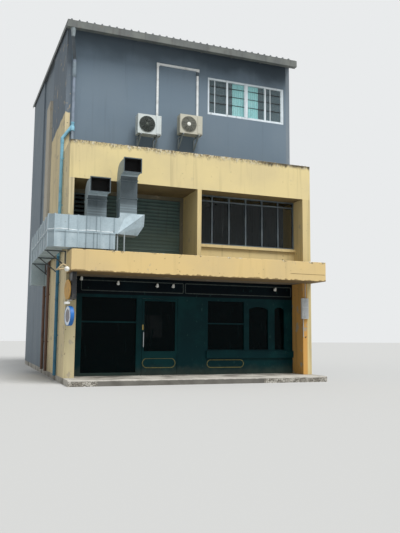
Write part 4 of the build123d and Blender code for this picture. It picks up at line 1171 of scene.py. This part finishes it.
@dataclass
class TopWindow:
    """Frames, glass, curtains and bars of the windows."""

    rail_ends: Pair = (4.8425, 6.1775)
    rail_height: float = 9.08
    rail_radius: float = 0.008
    rail_gap: float = 0.02
    wall_back: float = 1.33
    cloth_low: float = 7.8
    cloth_high: float = 9.07
    spans: tuple[Pair, Pair] = ((5.085, 5.4825), (5.5375, 5.975))
    folds: int = 6
    depth: float = 0.013
    cloth_steps: int = 160
    cloth_rows: int = 14
    bar_heights: Point = (8.246, 8.51, 8.767)
    bar_height: float = 0.022
    thin_bars: Pair = (4.46, 6.34)
    sashes: tuple[tuple[float, float, float, float], ...] = (
        (5.448, 5.503, 7.86, 9.0), (5.509, 5.564, 7.86, 9.0), (6.705, 6.795, 7.86, 9.0),
        (4.225, 6.795, 7.86, 7.935),
    )
    white: Finish = CoatedSheet("window_coating", "E2EBF0", "C9D3D8", rust=0.03, gloss=0.35)

    def rail(self) -> None:
        """Fix the curtain rail over the window."""
        y = self.wall_back + self.rail_gap
        z = self.rail_height
        left, right = self.rail_ends
        shape = Shape().tube([(left, y, z), (right, y, z)], self.rail_radius, 10)
        for x in (left + 0.02, right - 0.02):
            shape.bar((x - 0.01, self.wall_back, z - 0.01), (x + 0.01, y, z + 0.01))
        shape.place("curtain_rail", self.white, "trunk_white")

    def curtain(self, name: str, span: Pair, phase: float) -> bpy.types.Object:
        """Hang one folded curtain.

        Args:
            name: Name of the piece.
            span: Its left and right limits.
            phase: Where its folds start.

        Returns:
            The curtain.
        """
        length = self.cloth_high - self.cloth_low
        rows = []
        for drop in range(self.cloth_rows + 1):
            fall = drop / self.cloth_rows
            row = []
            for step in range(self.cloth_steps + 1):
                across = step / self.cloth_steps
                swing = math.sin(math.tau * self.folds * (across + 0.02 * math.sin(5 * fall + phase)) + phase)
                x = span[0] + 0.004 + (span[1] - span[0] - 0.008) * across
                y = self.wall_back + self.rail_gap + self.depth * (0.55 + 0.45 * fall) * swing
                row.append(Vector((x, y, self.cloth_high - fall * length)))
            rows.append(row)
        widths = [sum((b - a).length for a, b in zip(row, row[1:])) for row in rows]
        piece = Shape().grid(rows).place(name, Cloth("curtain_cloth", "ABEFED"), "curtain_teal")
        return piece

    def bars(self) -> None:
        """Set the steel bars before the glass, and the thin glazing bars."""
        dark = CoatedSheet("dark_bar_paint", "121518", "1E2225", rust=0.3)
        rise = self.bar_height
        shape = Shape().bars([((4.24, 1.239, z), (6.78, 1.247, z + rise)) for z in self.bar_heights])
        shape.place("window_steel_bars", dark, "bracket_steel", bevel=0.002)
        shape = Shape().bars([((x - 0.012, 1.235, 7.9), (x + 0.012, 1.275, 8.98)) for x in self.thin_bars])
        shape.bars([((left, 1.232, low), (right, 1.279, high)) for left, right, low, high in self.sashes])
        shape.place("thin_glazing_bars", self.white, "frame_white", bevel=0.003)

    def build(self) -> None:
        """Dress the windows and fit their small pieces."""
        dress(self.white, "top_window_frame", "rear_window_frames")
        dress(CoatedSheet("bay_frame_paint", "46525A", "6E7A80", rust=0.15), "bay_window_frame")
        # the pale upper tone of this glass is a painted reflection
        dress(Glazing("upper_glass", "121B1C", 0.22, upper_reflection_tint="8FA6AE"), "upper_window_glass")
        self.rail()
        left, right = self.spans
        for piece in [self.curtain("curtain_left", left, 0.0), self.curtain("curtain_right", right, 1.7)]:
            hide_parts("top_curtains")
        self.bars()


@dataclass
class Shopfront:
    """Joinery, glass, lamps, lock and meter box of the ground floor."""

    face: float = 0.62
    lamps: tuple[Pair, ...] = ((0.47, 2.7), (1.445, 2.615), (2.53, 2.585), (2.985, 2.59), (6.11, 2.6))
    lamp_arm: float = 0.14
    lamp_rise: float = 0.022
    bulb: Profile = ((0.043, 0.0905), (0.040, 0.096), (0.028, 0.103), (0.010, 0.107))
    lock_x: float = 2.173
    cylinder: Profile = ((0.0, -0.008), (0.01, -0.008), (0.012, -0.002), (0.012, 0.0))
    arm_radius: float = 0.02
    arm: tuple[Point, ...] = (
        (0.0, -0.35, 2.83), (-0.26, -0.42, 2.79), (-0.3, -0.68, 2.765), (-0.2, -0.75, 2.877),
        (-0.105, -0.75, 2.845),
    )
    globe: Point = (-0.091, -0.75, 2.775)
    globe_radius: float = 0.062
    lids: tuple[Box, Box] = (
        ((6.685, -0.066, 1.75), (6.87, -0.058, 2.04)), ((6.685, -0.066, 2.07), (6.87, -0.058, 2.28)),
    )
    conduit_radius: float = 0.011
    conduits: tuple[Box, Box] = (
        ((6.73, -0.02, 1.73), (6.73, -0.02, 1.2)), ((6.8, -0.02, 2.3), (6.8, -0.02, 2.74)),
    )

    def finish(self) -> None:
        """Dress the solids."""
        dress(Timber("painted_timber", "05272B"), "shop_window_frame", "door_frame", "middle_panel",
              "stall_riser", "window_sill", "right_window_frame", "shop_door")
        dress(Timber("sign_paint", "030C12", "07161C", "4C5452", lines=(2.2, 2.8), shine=0.0), "sign_board")
        # painted shade: near-black, nearly opaque glass stands in for the dark interior behind it
        dress(Glazing("shop_glass_painted_dark", "00080A", 0.92, "0C1B1D", 0.04), "shopfront_glass", "shop_door_glass")
        dress(CoatedSheet("brushed_handle", "B9BCC0", "9A9EA2", rust=0.02, gloss=0.25, metal=0.9),
              "door_handle")
        dress(CoatedSheet("shutter_paint", "4A6664", "5F7672", rust=0.1, rib_pitch=0.1), "shutter_sheet")
        dress(CoatedSheet("louvre_paint", "4E5E63", "64747A", rust=0.1), "louvre_window")
        dress(Moulding("lamp_shell", "DDDEDA"), "sign_lamps")
        dress(Moulding("meter_shell", "C6C9C8", 0.55), "meter_box")

    def bulbs(self) -> None:
        """Set a bulb in each sign lamp."""
        shape = Shape()
        sides = 20
        for x, z in self.lamps:
            shape.turned((x, self.face - self.lamp_arm, z + self.lamp_rise), Axis.LAMP, self.bulb, sides)
            shape.cap(shape.points[-sides:])
        shape.place("sign_lamp_bulbs", Moulding("opal_bulb", "F0EFE6", 0.2), "casing_white")

    def lock(self) -> None:
        """Set the lock plate and cylinder on the door's free stile."""
        brass = CoatedSheet("worn_brass", "8E7A44", "A8975E", rust=0.1, gloss=0.3, metal=0.8)
        x = self.lock_x
        shape = Shape().bar((x - 0.018, self.face - 0.003, 1.36), (x + 0.018, self.face, 1.5))
        shape.turned((x, self.face - 0.002, 1.43), Axis.BACK, self.cylinder, 20)
        shape.place("door_lock", brass, "handle_steel", Body.SHOP_DOOR, bevel=0.001)

    def corner_lamp(self) -> None:
        """Fix the round lamp on a bent arm at the canopy's left end."""
        tan = CoatedSheet("lamp_arm_paint", "C9B48C", "A8926C", rust=0.2)
        Shape().tube(eased(self.arm), self.arm_radius, 12).place("corner_lamp_arm", tan, "render_beige")
        half = circle(24)[:13]
        profile = [(self.globe_radius * out + 0.0001, -self.globe_radius * up) for up, out in half]
        ball = Shape().turned(self.globe, Axis.UP, profile)
        ball.place("corner_lamp_globe", Moulding("opal_globe", "E9E8E0", 0.25), "casing_white")

    def meter_details(self) -> None:
        """Set the hinged lids and the conduits of the meter box."""
        shell = Moulding("meter_lid", "B4B8B8", 0.5)
        Shape().bars(self.lids).place("meter_box_lids", shell, "casing_white", bevel=0.004)
        shape = Shape()
        for conduit in self.conduits:
            shape.tube(conduit, self.conduit_radius, 10)
        shape.place("meter_conduits", shell, "trunk_white")

    def build(self) -> None:
        """Dress the shopfront and fit its small pieces."""
        self.finish()
        self.bulbs()
        self.lock()
        self.corner_lamp()
        self.meter_details()


@dataclass
class RoofEdge:
    """Roof sheet, rafters and gutter, with screws, straps and a rolled lip."""

    eave: float = 0.76
    foot: float = 9.79
    fall: float = 0.12
    sheet: float = 0.03
    rib_pitch: float = 0.21
    rib_height: float = 0.035
    verge: float = 0.07
    rows: tuple[float, ...] = (0.9, 2.6, 4.3, 6.0, 7.7, 9.4, 11.0)
    screw_profile: Profile = ((0.013, -0.002), (0.013, 0.002), (0.007, 0.003), (0.0065, 0.009), (0.0, 0.010))
    lip_radius: float = 0.011
    lip: Box = ((-0.068, 0.708, 9.776), (6.998, 0.708, 9.776))
    straps: int = 8
    first_strap: float = 0.044
    strap_pitch: float = 0.98
    strap_width: float = 0.032
    trim_ends: Pair = (0.77, 11.24)
    roof: Finish = CoatedSheet("roof_coating", "595E60", "6D7274", rust=0.25, gloss=0.6, metal=0.1)
    paint: Finish = CoatedSheet("gutter_paint", "5B5F5D", "747872", rust=0.2)

    def height(self, y: float) -> float:
        """Height of the roof sheet's underside at a depth."""
        return self.foot + self.fall * (y - self.eave)

    def screws(self) -> None:
        """Set a screw on every rib over each purlin."""
        shape = Shape()
        for y in self.rows:
            z = self.height(y) + self.sheet + self.rib_height
            for rib in range(int((FACADE_WIDTH + self.verge) / self.rib_pitch)):
                x = self.rib_pitch * (rib + 0.5) - self.verge
                shape.turned((x, y, z), Axis.UP, self.screw_profile, 6)
        shape.place("roof_screws", self.roof, "roof_metal")

    def gutter(self) -> None:
        """Roll the gutter's lip and strap it to the rafters."""
        shape = Shape().tube(self.lip, self.lip_radius, 10)
        for step in range(self.straps):
            left = self.first_strap + self.strap_pitch * step
            right = left + self.strap_width
            shape.bar((left, 0.6955, 9.592), (right, 0.7, 9.786))
            shape.bar((left, 0.6955, 9.783), (right, 0.86, 9.787))
        shape.place("gutter_lip_and_straps", self.paint, "gutter_grey")

    def trim(self) -> None:
        """Fold a trim over the roof's left edge."""
        fold = ((-0.066, -0.09), (-0.066, 0.038), (0.02, 0.038))
        rows = [[(x, y, self.height(y) + rise) for x, rise in fold] for y in self.trim_ends]
        Shape().grid(rows).place("verge_trim", self.paint, "gutter_grey", smooth=False, sheet=0.002)

    def build(self) -> None:
        """Dress the roof and fit its small pieces."""
        dress(self.roof, "roof_sheet")
        dress(self.paint, "gutter")
        dress(CoatedSheet("rafter_paint", "5A6166", "70777B", rust=0.3), "rafter_ends")
        self.screws()
        self.gutter()
        self.trim()


@dataclass
class PipesAndSigns:
    """Pipes, trunking, condensers and the hanging signs."""

    condensers: tuple[Condenser, Condenser] = (
        Condenser("left", 1.945, 6.85, "4C544B", 0.04, "454D48"),
        Condenser("right", 3.19, 7.01, "E6E7DE", 0.058, "8C8D82"),
    )
    drum_centre: Point = (0.056, -0.36, 1.67)
    drum_radius: float = 0.236
    drum_half_width: float = 0.045
    drum_turn: float = 9.0
    rim_radius: float = 0.006
    spot_lamp: tuple[Box, ...] = (
        ((-0.07, -0.46, 1.955), (0.05, -0.28, 2.01)), ((0.0, -0.37, 2.01), (0.02, -0.35, 2.05)),
        ((0.0, -0.37, 2.04), (0.12, -0.35, 2.06)), ((0.1, -0.37, 2.04), (0.12, -0.35, 2.1)),
    )
    hopper: Profile = ((0.0, 0.0), (0.048, 0.0), (0.05, 0.03), (0.068, 0.2), (0.07, 0.238), (0.0, 0.238))
    sleeve: Profile = (
        (0.0, 0.0), (0.054, 0.002), (0.056, 0.006), (0.056, 0.429), (0.054, 0.433), (0.0, 0.435),
    )
    tee: Profile = (
        (0.0, 0.0), (0.042, 0.0), (0.042, 0.52), (0.056, 0.522), (0.056, 0.64), (0.05, 0.655), (0.0, 0.66),
    )
    trunk_lefts: Pair = (2.6, 3.845)
    trunk_top: float = 9.19
    trunk_front: float = 1.157
    trunk_back: float = 1.2
    couplings: Pair = (7.62, 8.4)
    tapes: int = 4
    tape_pitch: float = 0.027
    tape_width: float = 0.012

    def signs(self) -> None:
        """Put rolled rims on the drum sign, and the spot lamp over it."""
        turn = Matrix.Rotation(math.radians(self.drum_turn + 90), 3, "Z")
        shape = Shape()
        for side in (-self.drum_half_width, self.drum_half_width):
            centre = Vector(self.drum_centre) + turn @ Vector((0, side, 0))
            shape.hoop(centre, self.drum_radius, self.rim_radius, 48, 6, turn)
        shape.place("drum_sign_rims", CoatedSheet("rim_enamel", "17579A", "2C6DAA", rust=0.05), "sign_faces")
        lamp = Shape().bars(self.spot_lamp)
        lamp.place("sign_spot_lamp", Moulding("spot_lamp_shell", "E2E2DC"), "casing_white", bevel=0.006)

    def pipe_fittings(self) -> None:
        """Fit the rain hopper under the gutter, the sleeve on the pipe and the tee at the bend."""
        for name, foot, paint, bands, profile in (
            ("rain_hopper", (0.09, 0.775, 9.35), "8D989C", (), self.hopper),
            ("pipe_sleeve", (0.2, 1.135, 8.34), "7F8E98", (), self.sleeve),
            ("drain_tee", (0.2, 1.135, 6.28), "8A97A3", ((6.8, "8CC3D8"),), self.tee),
        ):
            plastic = Moulding(f"{name}_plastic", paint, bands=bands)
            Shape().turned(foot, Axis.UP, profile).place(name, plastic, "pipe_teal")

    def trunk_fittings(self) -> None:
        """Fit the trunking's elbow covers and couplings, and the taped hoses where one cover is missing,
        whose dark grey is partly painted shade.
        """
        front, back, top = self.trunk_front, self.trunk_back, self.trunk_top
        shape = Shape()
        for left in self.trunk_lefts:
            shape.bar((left - 0.003, front, top - 0.085), (left + 0.085, back, top + 0.003))
            shape.bars([((left - 0.003, front, z), (left + 0.063, back, z + 0.05)) for z in self.couplings])
        shape.place("trunk_covers", TRUNK_PLASTIC, "trunk_white", bevel=0.003)
        left = self.trunk_lefts[1]
        low = top - 0.21
        shape = Shape().bar((left - 0.002, front + 0.001, low), (left + 0.062, back, low + 0.12))
        for step in range(self.tapes):
            z = low + self.tape_width + step * self.tape_pitch
            shape.bar((left - 0.004, front - 0.001, z), (left + 0.064, back, z + self.tape_width))
        # the wrap's dark grey is partly its own colour and partly painted shade in the gap
        shape.place("trunk_taped_hoses", Moulding("hose_wrap_and_shade", "5C6870", 0.7), "fan_plastic", bevel=0.002)

    def build(self) -> None:
        """Dress these solids and fit their small pieces."""
        dress(ENAMEL, "condenser_casings")
        dress(DARK_PLASTIC, "condenser_fan_left", "condenser_fan_right")
        # Teal and grey are the pipes' own colours; the dark blue below 3.3 m and the dark grey above 8.85 m
        # are painted shade under the canopy and under the eave.
        pipe_tones_and_shade = ((3.3, "79AFC4"), (7.05, "8390A0"), (8.85, "525B62"))
        dress(Moulding("downpipe_plastic", "2F6A86", bands=pipe_tones_and_shade), "downpipe")
        dress(Moulding("soil_pipe_plastic", "63493C"), "soil_pipes")
        dress(TRUNK_PLASTIC, "cable_trunking")
        faces = SignFaces("sign_faces", "7F7B80", self.drum_centre, self.drum_radius, self.drum_turn)
        dress(faces, "blade_signs")
        self.pipe_fittings()
        for condenser in self.condensers:
            condenser.build()
        self.trunk_fittings()
        self.signs()


@dataclass
class Studio:
    """Pale floor, soft light and the camera."""

    floor_tone: str = "BDBDBB"
    floor_reach: float = 90.0
    light_tone: str = "F2F5F8"
    light_strength: float = 0.5
    sky_tone: str = "E9EBEC"
    sun_turn: Point = (29.0, 0.0, 14.0)
    sun_spread: float = 30.0
    sun_strength: float = 3.4
    camera_place: Point = (-5.698, -21.002, 1.225)
    yaw: float = 20.409
    pitch: float = 6.401
    roll: float = 0.505
    lens: float = 41.49
    film_width: float = 36.0
    far_limit: float = 400.0

    def floor(self) -> None:
        """Lay the floor, which looks even to the camera and keeps the building's shadow."""
        mesh = bpy.data.meshes.new("studio_floor")
        reach = self.floor_reach
        corners = [(x * reach, y * reach, 0.0) for x, y in ((-1, -1), (1, -1), (1, 1), (-1, 1))]
        mesh.from_pydata(corners, [], [(0, 1, 2, 3)])
        shade = Shader("studio_floor", self.floor_tone)
        shade.close(0.9, Specular_IOR_Level=0.0)
        mesh.materials.append(shade.material)
        piece = bpy.data.objects.new("studio_floor", mesh)
        bpy.context.scene.collection.objects.link(piece)

    def world(self) -> None:
        """Fill the sky with even light, and a pale tone where the camera or a reflection sees it."""
        world = bpy.data.worlds.new("studio")
        bpy.context.scene.world = world
        nodes = Nodes(world)
        rays = nodes.node("ShaderNodeLightPath").outputs
        seen = Value(nodes, rays["Is Camera Ray"])
        for kind in ("Is Glossy Ray", "Is Transmission Ray"):
            seen = nodes.math("MAXIMUM", seen, Value(nodes, rays[kind]))
        light = nodes.node("ShaderNodeBackground", {}, {0: self.light_tone, 1: self.light_strength})
        pale = nodes.node("ShaderNodeBackground", {}, {0: self.sky_tone, 1: 1.0})
        mix = nodes.node("ShaderNodeMixShader", {}, {0: seen, 1: light.outputs[0], 2: pale.outputs[0]})
        nodes.node("ShaderNodeOutputWorld", {}, {0: mix.outputs[0]})

    def sun(self) -> None:
        """Hang a wide soft sun in front, high on the right."""
        lamp = bpy.data.lights.new("soft_sun", "SUN")
        lamp.energy = self.sun_strength
        lamp.angle = math.radians(self.sun_spread)
        piece = bpy.data.objects.new("soft_sun", lamp)
        piece.rotation_euler = [math.radians(angle) for angle in self.sun_turn]
        bpy.context.scene.collection.objects.link(piece)

    def camera(self) -> None:
        """Stand the camera where the photograph was taken."""
        lens = bpy.data.cameras.new("photo_camera")
        lens.lens = self.lens
        lens.sensor_width = self.film_width
        lens.sensor_fit = "AUTO"
        lens.clip_end = self.far_limit
        piece = bpy.data.objects.new("photo_camera", lens)
        piece.matrix_world = Matrix.Translation(self.camera_place)
        for angle, axis in ((-self.yaw, "Z"), (90 + self.pitch, "X"), (self.roll, "Z")):
            piece.matrix_world = piece.matrix_world @ Matrix.Rotation(math.radians(angle), 4, axis)
        bpy.context.scene.collection.objects.link(piece)
        bpy.context.scene.camera = piece

    def build(self) -> None:
        """Set up the whole studio."""
        self.floor()
        self.world()
        self.sun()
        self.camera()
        bpy.context.scene.view_settings.view_transform = "Standard"


def main() -> None:
    """Build the classes in order and report each piece."""
    logging.basicConfig(level=logging.INFO, format="%(name)s: %(message)s")
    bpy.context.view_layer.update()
    for assembly in (Masonry(), Ductwork(), TopWindow(), Shopfront(), RoofEdge(), PipesAndSigns(), Studio()):
        before = set(bpy.data.objects.keys())
        assembly.build()
        for name in sorted(set(bpy.data.objects.keys()) - before):
            log.info("%s has %s", type(assembly).__name__, name)
    bpy.context.view_layer.update()


if __name__ == "__main__":
    main()
